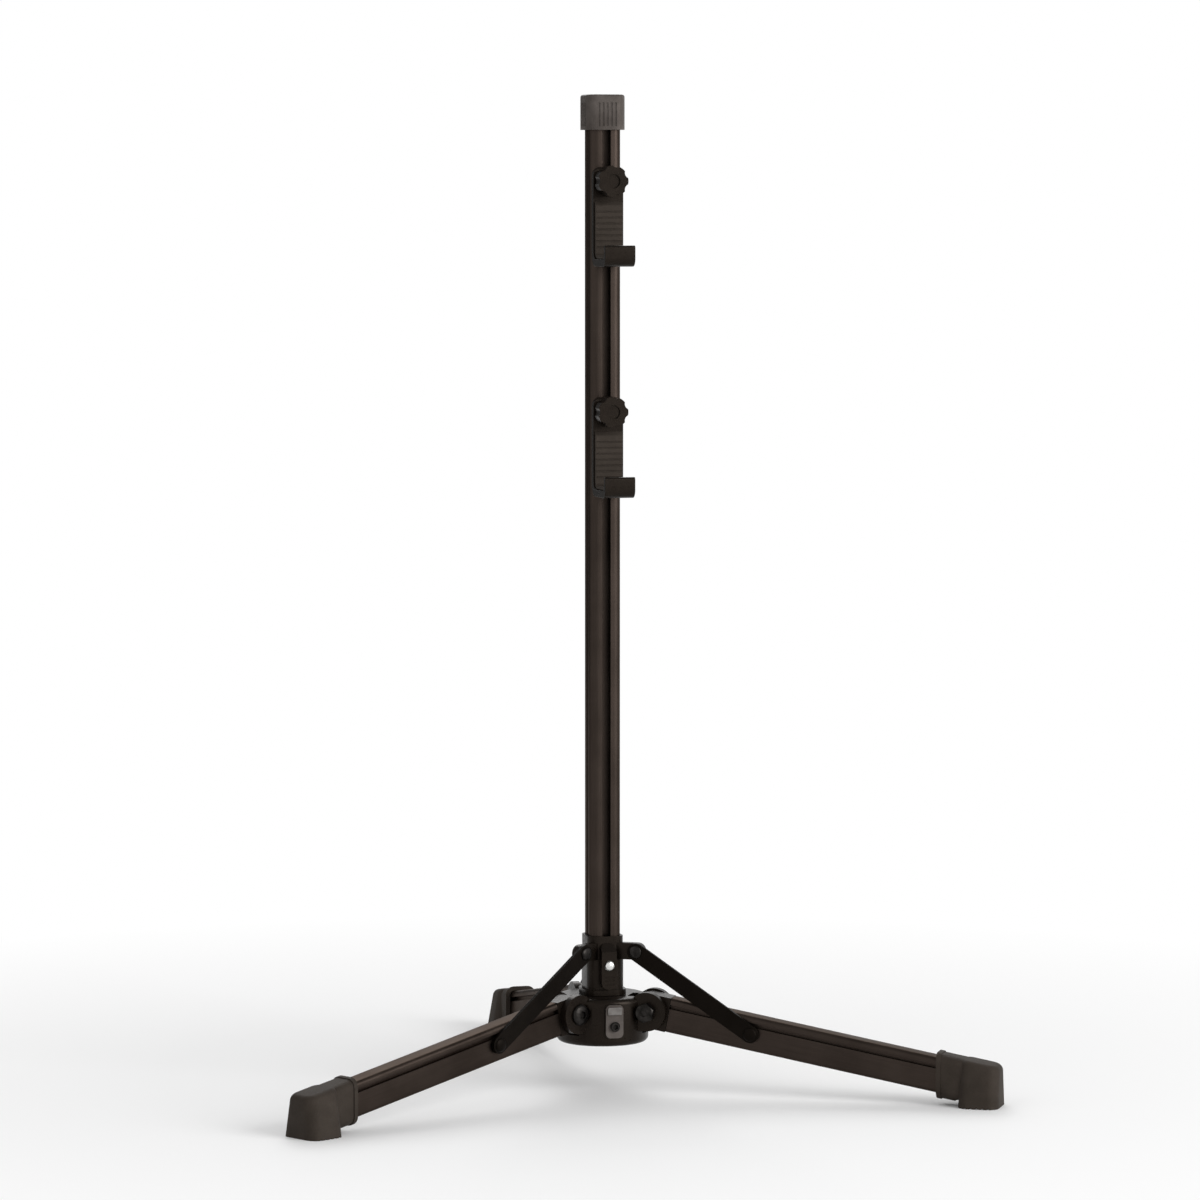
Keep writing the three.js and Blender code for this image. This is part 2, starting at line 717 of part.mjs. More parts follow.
function makeCollar() {
  const earShape = new THREE.Shape([
    point(0, collarBottom),
    ...arc(earPivotRadius, earPivotHeight, earRadius, -90, 90, 2 * cornerSteps),
    point(0, collarBottom + 2 * earRadius),
  ]);
  const azimuths = Object.values(legBearings);
  const ears = Object.entries(legBearings).map(([name, azimuth]) => {
    const middle = braceSides[name] * (legWidth - earThickness) / 2;
    return spoke(legSide(earShape, earThickness).translate(0, middle, 0), azimuth);
  });
  const ringShape = roundedRectangle(collarWidth, collarWidth, collarCornerRadius);
  const ring = upwards(ringShape, collarBottom, collarTop);
  const tongueBottom = hubTop + neckSeat + neckFlangeHeight + tongueGap;
  const tongueTop = collarBottom + tongueRise;
  const tongueShape = roundedRectangle(tongueWidth, tongueTop - tongueBottom, tongueWidth / 2 - fitGap);
  const tongueBar = forwards(tongueShape, collarWidth / 2 - tongueBackset, tongueFront);
  tongueBar.translate(0, 0, (tongueTop + tongueBottom) / 2);
  const behind = box(
    -tongueWidth, tongueWidth,
    -tongueBack, 0,
    tongueBottom - cutOverrun, collarBottom,
  );
  const slant = hookSide(new THREE.Shape([
    point(tongueFront, tongueTop - tongueThickness),
    point(tongueFront + cutOverrun, tongueTop - tongueThickness),
    point(tongueFront + cutOverrun, tongueTop + cutOverrun),
    point(collarWidth / 2, tongueTop + cutOverrun),
    point(collarWidth / 2, tongueTop),
  ]), 2 * tongueWidth);
  const tongue = cut(tongueBar, behind, slant);
  const boreWidth = postWidth + 2 * runGap;
  const boreShape = roundedRectangle(boreWidth, boreWidth, postCornerRadius + runGap);
  const bore = upwards(boreShape, collarBottom - cutOverrun, collarTop + cutOverrun);
  const pinHoles = azimuths.map((azimuth) => {
    const hole = rodAcross(bracePinRadius + fitGap, -legWidth, legWidth, pinSteps);
    return spoke(hole.translate(earPivotRadius, 0, earPivotHeight), azimuth);
  });
  const buttonHole = rodForward(buttonRadius + fitGap, tongueBack, tongueFront + cutOverrun, pinSteps);
  const pocketRadius = buttonFlangeRadius + fitGap;
  const pocket = rodForward(pocketRadius, postHalf, tongueFront - buttonLip, pinSteps);
  const pocketCuts = [buttonHole, pocket].map((tool) => tool.translate(0, 0, buttonHeight));
  return cut(join(ring, ...ears, tongue), bore, ...pinHoles, ...pocketCuts);
}

const flangeFront = tongueFront - buttonLip - fitGap;
const flangeBack = flangeFront - buttonFlangeThickness;
const retainerFront = tongueBack + retainerThickness;

function makeSnapButton() {
  const nose = tongueFront + buttonProud;
  return turnedForward([
    point(0, tongueBack),
    point(buttonStemRadius, tongueBack),
    point(buttonStemRadius, flangeBack),
    point(buttonFlangeRadius, flangeBack),
    point(buttonFlangeRadius, flangeFront),
    point(buttonRadius, flangeFront),
    point(buttonRadius, nose - buttonDome),
    point(buttonRadius - buttonDome / 2, nose - buttonDome / 3),
    point(buttonRadius - 2 * buttonDome, nose),
    point(0, nose),
  ], pinSteps).translate(0, 0, buttonHeight);
}

function makeRetainer() {
  return turnedForward([
    point(buttonStemRadius + fitGap, tongueBack),
    point(buttonFlangeRadius, tongueBack),
    point(buttonFlangeRadius, retainerFront),
    point(buttonStemRadius + fitGap, retainerFront),
    point(buttonStemRadius + fitGap, tongueBack),
  ], pinSteps).translate(0, 0, buttonHeight);
}

function makeButtonSpring() {
  const coilRadius = (buttonStemRadius + buttonFlangeRadius + fitGap) / 2;
  const back = retainerFront + fitGap + buttonSpringWire;
  const front = flangeBack - fitGap - buttonSpringWire;
  const steps = 12 * buttonSpringTurns;
  const coil = [];
  for (let step = 0; step <= steps; step += 1) {
    const angle = (2 * Math.PI * buttonSpringTurns * step) / steps;
    const reach = back + ((front - back) * step) / steps;
    coil.push(new THREE.Vector3(coilRadius * Math.cos(angle), -reach, coilRadius * Math.sin(angle)));
  }
  const wire = new THREE.Shape(arc(0, 0, buttonSpringWire, 0, 288, 4));
  const path = new THREE.CatmullRomCurve3(coil);
  const geometry = new THREE.ExtrudeGeometry(wire, { steps, extrudePath: path });
  return geometry.translate(0, 0, buttonHeight);
}

addPiece(stand, 'collar', makeCollar(), blackPlastic);
addPiece(stand, 'snap_button', makeSnapButton(), brightSteel);
addPiece(stand, 'button_retainer', makeRetainer(), darkSteel);
addPiece(stand, 'button_spring', makeButtonSpring(), brightSteel);

// Braces: flat bars beside the legs, built along +X from their upper pins

const lowerPinRadius = legPivotRadius + lowerPinReach * Math.cos(legSlope);
const lowerPinHeight = legPivotHeight - lowerPinReach * Math.sin(legSlope);
const braceDrop = earPivotHeight - lowerPinHeight;
const braceLength = Math.hypot(lowerPinRadius - earPivotRadius, braceDrop);
const braceSlope = Math.asin(braceDrop / braceLength);
const braceInside = cheekGap / 2;
const braceOutside = braceInside + braceThickness;

function makeBrace(side) {
  const half = braceDepth / 2;
  const outline = new THREE.Shape([
    ...arc(0, 0, half, 90, 270, 2 * cornerSteps),
    ...arc(braceLength, 0, half, -90, 90, 2 * cornerSteps),
  ]);
  const bar = legSide(outline, braceThickness).translate(0, (braceInside + braceOutside) / 2, 0);
  const pinHole = rodAcross(bracePinRadius + fitGap, 0, braceOutside + cutOverrun, pinSteps);
  const headInside = (braceInside + braceOutside) / 2;
  const headOutside = braceOutside + rivetHeadHeight;
  const head = turnedAcross([
    point(0, headInside),
    point(rivetHeadRadius, headInside),
    point(rivetHeadRadius, headOutside - rivetHeadHeight / 2),
    point(rivetHeadRadius - rivetHeadHeight / 2, headOutside),
    point(0, headOutside),
  ], pinSteps);
  return facing(side, join(cut(bar, pinHole), head.translate(braceLength, 0, 0)));
}

function makeUpperPin(side) {
  const seat = braceOutside + fitGap;
  const head = seat + pinHeadHeight;
  return facing(side, turnedAcross([
    ...pinProfile(legWidth / 2 - earThickness - fitGap, seat),
    point(pinHeadRadius, seat),
    point(pinHeadRadius, head - pinHeadHeight / 2),
    point(pinHeadRadius - pinHeadHeight / 2, head),
    point(0, head),
  ], pinSteps));
}

for (const [name, azimuth] of Object.entries(legBearings)) {
  const ear = new THREE.Group();
  ear.position.set(earPivotRadius, 0, earPivotHeight);
  ear.rotation.y = braceSlope;
  spokeGroup(azimuth).add(ear);
  addPiece(ear, `brace_${name}`, makeBrace(braceSides[name]), blackPaint);
  addPiece(ear, `brace_upper_pin_${name}`, makeUpperPin(braceSides[name]), darkSteel);
}

// Frame hooks, each drawn from the bottom of its back plate

const hookBack = postHalf + fitGap;
const hookFront = hookBack + hookPlate;

function makeHookBody() {
  const tipInner = hookReach - hookTipThickness;
  const shape = new THREE.Shape([
    ...arc(hookBack + hookOuterRadius, hookOuterRadius, hookOuterRadius, 180, 270),
    ...arc(hookReach - hookFillet, hookFillet, hookFillet, -90, 0),
    ...arc(hookReach - hookTipThickness / 2, hookTipRise, hookTipThickness / 2, 0, 180),
    ...arc(tipInner - hookTipThickness, hookArm + hookTipThickness, hookTipThickness, 0, -90),
    ...arc(hookFront + hookFillet, hookArm + hookFillet, hookFillet, 270, 180),
    ...arc(hookFront - hookEdgeRadius, hookHeight - hookEdgeRadius, hookEdgeRadius, 0, 90),
    point(hookBack, hookHeight),
  ]);
  const faceShape = roundedRectangle(hookWidth, hookHeight + hookOuterRadius, hookFillet);
  const face = forwards(faceShape, 0, hookReach + cutOverrun);
  face.translate(0, 0, (hookHeight - hookOuterRadius) / 2);
  const keyWidth = slotOpening - 2 * fitGap;
  const keyLow = (hookHeight - hookKeyHeight) / 2;
  const keyHigh = keyLow + hookKeyHeight;
  const key = box(-keyWidth / 2, keyWidth / 2, -hookFront, hookKeyDepth - hookBack, keyLow, keyHigh);
  const studHole = rodForward(studRadius + fitGap, 0, hookFront + cutOverrun, pinSteps);
  studHole.translate(0, 0, knobHeight);
  return cut(join(overlapOf(hookSide(shape, hookWidth), face), key), studHole);
}

// Rubber liner: a strip of one thickness that follows the inside of the hook
function makeLiner() {
  const back = hookFront + fitGap;
  const low = hookArm + fitGap;
  const tip = hookReach - hookTipThickness - fitGap;
  const innerFillet = hookFillet - fitGap;
  const tipFillet = hookTipThickness - fitGap;
  const thinFillet = Math.max(innerFillet - linerThickness, fitGap);
  const thinTip = Math.max(tipFillet - linerThickness, fitGap);
  const inside = linerThickness;
  const shape = new THREE.Shape([
    point(back, linerRise),
    ...arc(back + innerFillet, low + innerFillet, innerFillet, 180, 270),
    ...arc(tip - tipFillet, low + tipFillet, tipFillet, 270, 360),
    point(tip, hookTipRise),
    point(tip - inside, hookTipRise),
    ...arc(tip - inside - thinTip, low + inside + thinTip, thinTip, 360, 270),
    ...arc(back + inside + thinFillet, low + inside + thinFillet, thinFillet, 270, 180),
    point(back + inside, linerRise - linerInset),
  ]);
  return hookSide(shape, linerWidth);
}

const washerBack = hookFront + fitGap;
const knobBack = washerBack + washerThickness + fitGap;
const knobFront = knobBack + knobBossLength + knobLength;

function makeWasher() {
  return turnedForward([
    point(studRadius + fitGap, washerBack),
    point(washerRadius, washerBack),
    point(washerRadius, washerBack + washerThickness),
    point(studRadius + fitGap, washerBack + washerThickness),
    point(studRadius + fitGap, washerBack),
  ]);
}

function makeKnob() {
  const outline = [];
  const steps = 6 * knobLobes;
  for (let step = 0; step < steps; step += 1) {
    const angle = (2 * Math.PI * step) / steps;
    const radius = knobRadius - knobBevel + knobLobe * Math.cos(knobLobes * angle);
    outline.push(point(radius * Math.cos(angle), radius * Math.sin(angle)));
  }
  const grip = new THREE.ExtrudeGeometry(new THREE.Shape(outline), {
    depth: knobLength - 2 * knobBevel,
    bevelThickness: knobBevel,
    bevelSize: knobBevel,
    bevelSegments: 1,
  });
  grip.rotateX(Math.PI / 2).translate(0, -knobBack - knobBossLength - knobBevel, 0);
  const boss = rodForward(knobBossRadius, knobBack, knobBack + knobLength / 2);
  const bore = rodForward(studRadius + fitGap, knobBack - cutOverrun, knobFront - knobLength / 2, pinSteps);
  const recess = rodForward(knobRecessRadius, knobFront - knobRecessDepth, knobFront + cutOverrun);
  return cut(join(grip, boss), bore, recess);
}

function makeStud() {
  return rodForward(studRadius, studSink, knobFront - knobLength / 2 - fitGap, pinSteps);
}

function makeSlotNut() {
  const front = postHalf - postWall - fitGap;
  const shape = roundedRectangle(nutWidth, nutHeight, hookEdgeRadius / 2);
  const hole = rodForward(studRadius + fitGap, 0, postHalf, pinSteps);
  return cut(forwards(shape, front - nutThickness, front), hole);
}

for (const [name, drop] of Object.entries(hookDrops)) {
  const hook = new THREE.Group();
  hook.position.z = postTop - drop;
  stand.add(hook);
  addPiece(hook, `${name}_hook_body`, makeHookBody(), blackPlastic);
  addPiece(hook, `${name}_hook_liner`, makeLiner(), greyRubber);
  const clamp = new THREE.Group();
  clamp.position.z = knobHeight;
  hook.add(clamp);
  addPiece(clamp, `${name}_clamp_washer`, makeWasher(), darkSteel);
  addPiece(clamp, `${name}_clamp_knob`, makeKnob(), blackPlastic);
  addPiece(clamp, `${name}_clamp_stud`, makeStud(), brightSteel);
  addPiece(clamp, `${name}_slot_nut`, makeSlotNut(), darkSteel);
}

// The origin goes to the floor under the middle of the whole stand
stand.updateMatrixWorld(true);
const middle = new THREE.Box3().setFromObject(stand, true).getCenter(new THREE.Vector3());
const placed = new THREE.Group();
placed.add(stand);
stand.position.set(-middle.x, -middle.y, 0);

export default placed;
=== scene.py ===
import math

import bmesh
import bpy
from mathutils import Matrix, Vector


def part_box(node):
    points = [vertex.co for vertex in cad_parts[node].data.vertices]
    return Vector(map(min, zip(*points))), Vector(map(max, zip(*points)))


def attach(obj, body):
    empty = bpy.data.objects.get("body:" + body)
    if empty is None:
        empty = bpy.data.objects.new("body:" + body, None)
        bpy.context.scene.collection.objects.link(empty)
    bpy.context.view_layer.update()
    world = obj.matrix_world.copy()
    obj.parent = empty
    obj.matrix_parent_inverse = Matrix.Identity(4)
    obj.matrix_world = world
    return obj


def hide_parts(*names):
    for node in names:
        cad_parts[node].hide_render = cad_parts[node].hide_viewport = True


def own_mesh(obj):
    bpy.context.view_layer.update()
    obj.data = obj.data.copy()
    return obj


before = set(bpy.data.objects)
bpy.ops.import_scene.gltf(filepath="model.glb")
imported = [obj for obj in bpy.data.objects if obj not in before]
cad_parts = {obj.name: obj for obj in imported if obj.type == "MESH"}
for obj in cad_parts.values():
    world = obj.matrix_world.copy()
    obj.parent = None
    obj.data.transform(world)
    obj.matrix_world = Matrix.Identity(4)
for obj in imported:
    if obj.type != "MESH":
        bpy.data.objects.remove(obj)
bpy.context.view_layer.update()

scene = bpy.context.scene
scene.view_settings.view_transform = "Standard"
print("frame loaded:", len(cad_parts), "nodes")

# pieces are drawn in millimetres round the upright's axis, and finishPiece takes them to metres
millimetre = 0.001
postLow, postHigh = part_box("post_extrusion")
uprightAxis = Vector(((postLow.x + postHigh.x) / 2, (postLow.y + postHigh.y) / 2, 0))
toRoom = Matrix.Translation(uprightAxis) @ Matrix.Scale(millimetre, 4)

linkage = {
    "pivotReach": 36, "pivotHeight": 58.7, "footReach": 292, "footAxisHeight": 13.56,
    "earReach": 27.5, "earHeight": 101.3, "lowerPinReach": 77, "legWidth": 16,
    "bearings": {"front_left": 210, "front_right": -30, "rear": 90},
    # 1 is the side that the bearings count towards
    "braceSides": {"front_left": 1, "front_right": -1, "rear": -1},
}
legRun = linkage["footReach"] - linkage["pivotReach"]
legSlope = math.atan2(linkage["pivotHeight"] - linkage["footAxisHeight"], legRun)
lowerPinOut = linkage["pivotReach"] + linkage["lowerPinReach"] * math.cos(legSlope)
lowerPinUp = linkage["pivotHeight"] - linkage["lowerPinReach"] * math.sin(legSlope)
braceDrop = linkage["earHeight"] - lowerPinUp
braceLength = math.hypot(lowerPinOut - linkage["earReach"], braceDrop)
braceSlope = math.asin(braceDrop / braceLength)

# shared ways of making a shape

past = 5  # how far a cutting shape runs on beyond what it cuts, where there is room
drillHalf = 20  # half the length of a drill that goes right through a piece
tolerance = {
    "parallel": 0.999, "level": 0.001, "spunMerge": 0.0005, "spunShort": 0.0001,
    "cutMerge": 0.001, "cutShort": 0.001, "flatDegrees": 0.6,
}


def turned(degrees, axis):
    return Matrix.Rotation(math.radians(degrees), 4, axis)


def moved(x, y, z):
    return Matrix.Translation((x, y, z))


def spokePlace(bearing):
    return turned(bearing, "Z")  # local +X then points along the leg


def legPlace(bearing):
    start = moved(linkage["pivotReach"], 0, linkage["pivotHeight"])
    return spokePlace(bearing) @ start @ Matrix.Rotation(legSlope, 4, "Y")


def bracePlace(bearing):
    start = moved(linkage["earReach"], 0, linkage["earHeight"])
    return spokePlace(bearing) @ start @ Matrix.Rotation(braceSlope, 4, "Y")


def facing(name):
    # turns a shape over, along the leg, to the side that its brace lies on
    return turned(0 if linkage["braceSides"][name] > 0 else 180, "X")


towardsFront = turned(90, "X")  # turns +Z to -Y
towardsSide = turned(-90, "X")  # turns +Z to +Y
alongX = turned(90, "Y")  # turns +Z to +X


def placed(shape, matrix):
    bmesh.ops.transform(shape, matrix=matrix, verts=shape.verts)
    return shape


def atFront(shape, up):
    # a shape drawn along Z, turned to point forward at this height
    return placed(shape, moved(0, 0, up) @ towardsFront)


def block(x0, x1, y0, y1, z0, z1):
    shape = bmesh.new()
    bmesh.ops.create_cube(shape, size=1)
    bmesh.ops.scale(shape, vec=(x1 - x0, y1 - y0, z1 - z0), verts=shape.verts)
    bmesh.ops.translate(shape, vec=((x0 + x1) / 2, (y0 + y1) / 2, (z0 + z1) / 2), verts=shape.verts)
    return shape


def roundEdges(shape, edges, radius, steps):
    bmesh.ops.bevel(
        shape, geom=list(edges), offset=radius, offset_type="OFFSET", segments=steps,
        profile=0.5, affect="EDGES", material=-1, clamp_overlap=True,
    )
    return shape


def uprightEdges(shape):
    found = []
    for edge in shape.edges:
        direction = (edge.verts[1].co - edge.verts[0].co).normalized()
        if abs(direction.z) > tolerance["parallel"]:
            found.append(edge)
    return found


def roundedBar(width, depth, low, high, radius, steps=8):
    shape = block(-width / 2, width / 2, -depth / 2, depth / 2, low, high)
    return roundEdges(shape, uprightEdges(shape), radius, steps)


def rimEdges(shape, height):
    return [
        edge for edge in shape.edges
        if all(abs(vertex.co.z - height) < tolerance["level"] for vertex in edge.verts)
    ]


def rod(radius, low, high, steps=48):
    shape = bmesh.new()
    bmesh.ops.create_cone(
        shape, cap_ends=True, segments=steps, radius1=radius, radius2=radius, depth=high - low,
    )
    bmesh.ops.translate(shape, vec=(0, 0, (low + high) / 2), verts=shape.verts)
    return shape


def spun(profile, steps=64):
    # profile: (radius, height) points, turned once round Z
    shape = bmesh.new()
    line = [shape.verts.new((radius, 0, height)) for radius, height in profile]
    edges = [shape.edges.new(pair) for pair in zip(line, line[1:])]
    bmesh.ops.spin(
        shape, geom=line + edges, cent=(0, 0, 0), axis=(0, 0, 1), dvec=(0, 0, 0),
        angle=math.tau, steps=steps, use_merge=True, use_duplicate=False,
    )
    bmesh.ops.remove_doubles(shape, verts=shape.verts, dist=tolerance["spunMerge"])
    bmesh.ops.dissolve_degenerate(shape, edges=shape.edges, dist=tolerance["spunShort"])
    bmesh.ops.recalc_face_normals(shape, faces=shape.faces)
    return shape


def sideShape(corners, width):
    # corners: (forward, up, corner radius, steps), drawn in the XZ plane and pulled out to both sides
    shape = bmesh.new()
    outline = [shape.verts.new((forward, -width / 2, up)) for forward, up, _, _ in corners]
    shape.faces.new(outline)
    for vertex, (_, _, radius, steps) in zip(outline, corners):
        if radius:
            bmesh.ops.bevel(
                shape, geom=[vertex], offset=radius, offset_type="OFFSET", segments=steps,
                profile=0.5, affect="VERTICES", material=-1, clamp_overlap=True,
            )
    grown = bmesh.ops.extrude_face_region(shape, geom=shape.faces[:])
    far = [item for item in grown["geom"] if isinstance(item, bmesh.types.BMVert)]
    bmesh.ops.translate(shape, vec=(0, width, 0), verts=far)
    bmesh.ops.recalc_face_normals(shape, faces=shape.faces)
    return shape


def meshOf(name, shape):
    mesh = bpy.data.meshes.new(name)
    shape.to_mesh(mesh)
    shape.free()
    return mesh


def inScene(name, data):
    thing = bpy.data.objects.new(name, data)
    scene.collection.objects.link(thing)
    return thing


def combined(shape, others, operation):
    holder = inScene("holder", meshOf("holder", shape))
    helpers = [inScene("holder", meshOf("holder", other)) for other in others]
    for helper in helpers:
        step = holder.modifiers.new("combine", "BOOLEAN")
        step.operation = operation
        step.solver = "MANIFOLD"
        step.object = helper
    bpy.context.view_layer.update()
    result = bmesh.new()
    result.from_object(holder, bpy.context.evaluated_depsgraph_get())
    for spent in [holder] + helpers:
        mesh = spent.data
        bpy.data.objects.remove(spent)
        bpy.data.meshes.remove(mesh)
    bmesh.ops.remove_doubles(result, verts=result.verts, dist=tolerance["cutMerge"])
    bmesh.ops.dissolve_degenerate(result, edges=result.edges, dist=tolerance["cutShort"])
    return result


def joined(shape, *others):
    return combined(shape, others, "UNION")


def cut(shape, *others):
    return combined(shape, others, "DIFFERENCE")


def kept(shape, *others):
    return combined(shape, others, "INTERSECT")


def loose(shapes):
    # several separate shapes held in one mesh, for one cut
    whole = bmesh.new()
    for shape in shapes:
        mesh = meshOf("holder", shape)
        whole.from_mesh(mesh)
        bpy.data.meshes.remove(mesh)
    return whole


def finishPiece(name, shape, body, nodes, finish, edge=0.3, edgeSteps=2, sharpAngle=34):
    flat = math.radians(tolerance["flatDegrees"])
    bmesh.ops.dissolve_limit(shape, angle_limit=flat, verts=shape.verts, edges=shape.edges)
    placed(shape, toRoom)
    bmesh.ops.recalc_face_normals(shape, faces=shape.faces)
    mesh = meshOf(name, shape)
    mesh.shade_smooth()
    mesh.materials.append(finish)
    piece = inScene(name, mesh)
    if edge:
        softened = piece.modifiers.new("softenedEdges", "BEVEL")
        softened.width = edge * millimetre
        softened.segments = edgeSteps
        softened.limit_method = "ANGLE"
        softened.angle_limit = math.radians(sharpAngle)
        softened.harden_normals = True
        softened.use_clamp_overlap = True
    else:
        mesh.set_sharp_from_angle(angle=math.radians(sharpAngle))
    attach(piece, body)
    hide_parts(*nodes)
    return piece


# shared ways of making a finish

noiseRange = (0.3, 0.7)  # most of a noise's values lie between these


def newFinish(name, colour, roughness, metallic=0.0):
    finish = bpy.data.materials.new(name)
    finish.use_nodes = True
    tree = finish.node_tree
    tree.nodes.clear()
    output = tree.nodes.new("ShaderNodeOutputMaterial")
    shader = tree.nodes.new("ShaderNodeBsdfPrincipled")
    tree.links.new(shader.outputs["BSDF"], output.inputs["Surface"])
    shader.inputs["Base Color"].default_value = (*colour, 1)
    shader.inputs["Roughness"].default_value = roughness
    shader.inputs["Metallic"].default_value = metallic
    return finish, tree, shader


def patternPlace(tree, turn=(0, 0, 0), stretch=(1, 1, 1)):
    # object coordinates, turned so that the pattern follows the piece, then stretched
    place = tree.nodes.new("ShaderNodeTexCoord").outputs["Object"]
    turning = tree.nodes.new("ShaderNodeMapping")
    turning.vector_type = "TEXTURE"
    turning.inputs["Rotation"].default_value = turn
    tree.links.new(place, turning.inputs["Vector"])
    scaling = tree.nodes.new("ShaderNodeMapping")
    scaling.inputs["Scale"].default_value = stretch
    tree.links.new(turning.outputs["Vector"], scaling.inputs["Vector"])
    return scaling.outputs["Vector"]


def grain(tree, place, size, detail=3, roughness=0.55):
    # noise whose blotches are about size millimetres across
    noise = tree.nodes.new("ShaderNodeTexNoise")
    noise.inputs["Scale"].default_value = 1000 / size
    noise.inputs["Detail"].default_value = detail
    noise.inputs["Roughness"].default_value = roughness
    tree.links.new(place, noise.inputs["Vector"])
    return noise.outputs["Fac"]


def spread(tree, value, fromLow, fromHigh, toLow, toHigh):
    mapping = tree.nodes.new("ShaderNodeMapRange")
    limits = {"From Min": fromLow, "From Max": fromHigh, "To Min": toLow, "To Max": toHigh}
    for socket, number in limits.items():
        mapping.inputs[socket].default_value = number
    tree.links.new(value, mapping.inputs["Value"])
    return mapping.outputs["Result"]


def tones(tree, value, stops, colours):
    ramp = tree.nodes.new("ShaderNodeValToRGB")
    while len(ramp.color_ramp.elements) < len(stops):
        ramp.color_ramp.elements.new(0.5)
    for element, position, colour in zip(ramp.color_ramp.elements, stops, colours):
        element.position = position
        element.color = (*colour, 1)
    tree.links.new(value, ramp.inputs["Fac"])
    return ramp.outputs["Color"]


def product(tree, first, second):
    node = tree.nodes.new("ShaderNodeMath")
    node.operation = "MULTIPLY"
    tree.links.new(first, node.inputs[0])
    tree.links.new(second, node.inputs[1])
    return node.outputs["Value"]


def mixedShader(tree, amount, first, second):
    node = tree.nodes.new("ShaderNodeMixShader")
    for socket, value in zip(node.inputs, (amount, first, second)):
        tree.links.new(value, socket)
    return node.outputs["Shader"]


def coat(tree, shader, colour, noise, rough):
    # the colour as it comes, and a roughness that follows the noise
    tree.links.new(colour, shader.inputs["Base Color"])
    tree.links.new(spread(tree, noise, *noiseRange, *rough), shader.inputs["Roughness"])


def shine(shader, gloss, tint):
    shader.inputs["Specular IOR Level"].default_value = gloss
    shader.inputs["Specular Tint"].default_value = (*tint, 1)


def relief(tree, shader, layers):
    # layers: (height value, depth in millimetres, strength), laid one over the other
    normal = None
    for height, depth, strength in layers:
        bump = tree.nodes.new("ShaderNodeBump")
        bump.inputs["Strength"].default_value = strength
        bump.inputs["Distance"].default_value = depth * millimetre
        tree.links.new(height, bump.inputs["Height"])
        if normal:
            tree.links.new(normal, bump.inputs["Normal"])
        normal = bump.outputs["Normal"]
    tree.links.new(normal, shader.inputs["Normal"])


# satin black anodised aluminium: drawn lines run along the extrusion

anodised = {
    "tones": ((0.0292, 0.0221, 0.0182), (0.0505, 0.0385, 0.0322)), "stops": (0.25, 0.75),
    "middle": 0.4, "rough": (0.33, 0.46), "edgeTint": (0.61, 0.58, 0.56), "stretch": 0.012,
    "lineSize": 0.35, "lineDepth": 0.03, "lineStrength": 0.35, "lineShare": 0.45,
    "cloudSize": 38, "cloudRange": (0.2, 0.8), "cloudShare": (0.05, 0.5),
    "speckSize": 0.5, "speckDepth": 0.006, "speckStrength": 0.25,
}


def anodisedFinish(name, turn, along):
    look = anodised
    finish, tree, shader = newFinish(name, look["tones"][0], look["middle"], 1.0)
    stretch = [1, 1, 1]
    stretch[along] = look["stretch"]
    lines = grain(tree, patternPlace(tree, turn, stretch), look["lineSize"], 2)
    cloud = grain(tree, patternPlace(tree, turn), look["cloudSize"], 4)
    speck = grain(tree, patternPlace(tree, turn), look["speckSize"], 1)
    mix = tree.nodes.new("ShaderNodeMath")
    mix.operation = "MULTIPLY_ADD"
    mix.inputs[1].default_value = look["lineShare"]
    tree.links.new(lines, mix.inputs[0])
    tree.links.new(spread(tree, cloud, *look["cloudRange"], *look["cloudShare"]), mix.inputs[2])
    colour = tones(tree, mix.outputs["Value"], look["stops"], look["tones"])
    coat(tree, shader, colour, cloud, look["rough"])
    shader.inputs["Specular Tint"].default_value = (*look["edgeTint"], 1)
    relief(tree, shader, [
        (lines, look["lineDepth"], look["lineStrength"]), (speck, look["speckDepth"], look["speckStrength"]),
    ])
    return finish


# glass-filled nylon out of a spark-eroded mould

moulded = {
    "black": ((0.0038, 0.0027, 0.0020), (0.0084, 0.0061, 0.0046)),
    "grey": ((0.064, 0.055, 0.050), (0.132, 0.116, 0.107)), "stops": (0.3, 0.72),
    "gloss": {"black": 0.16, "grey": 0.06}, "tint": (1.0, 0.82, 0.68), "middle": 0.5, "rough": (0.25, 0.37),
    "cloudSize": 22, "flowSize": 3.2, "grainSize": 0.45, "grainDepth": 0.05, "grainStrength": 0.5,
}


def mouldedFinish(name, shade):
    look = moulded
    finish, tree, shader = newFinish(name, look[shade][0], look["middle"])
    fine = grain(tree, patternPlace(tree), look["grainSize"], 2)
    cloud = grain(tree, patternPlace(tree), look["cloudSize"], 4)
    flow = grain(tree, patternPlace(tree), look["flowSize"], 3)
    coat(tree, shader, tones(tree, cloud, look["stops"], look[shade]), flow, look["rough"])
    shine(shader, look["gloss"][shade], look["tint"])
    relief(tree, shader, [(fine, look["grainDepth"], look["grainStrength"])])
    return finish


# black powder coat with a soft orange peel

powder = {
    "tones": ((0.0014, 0.0010, 0.0007), (0.0034, 0.0025, 0.0019)), "stops": (0.3, 0.7),
    "gloss": 0.07, "tint": (1.0, 0.82, 0.68), "middle": 0.45, "rough": (0.38, 0.5), "cloudSize": 15,
    "peelSize": 1.3, "peelRoughness": 0.4, "peelDepth": 0.09, "peelStrength": 0.45,
}


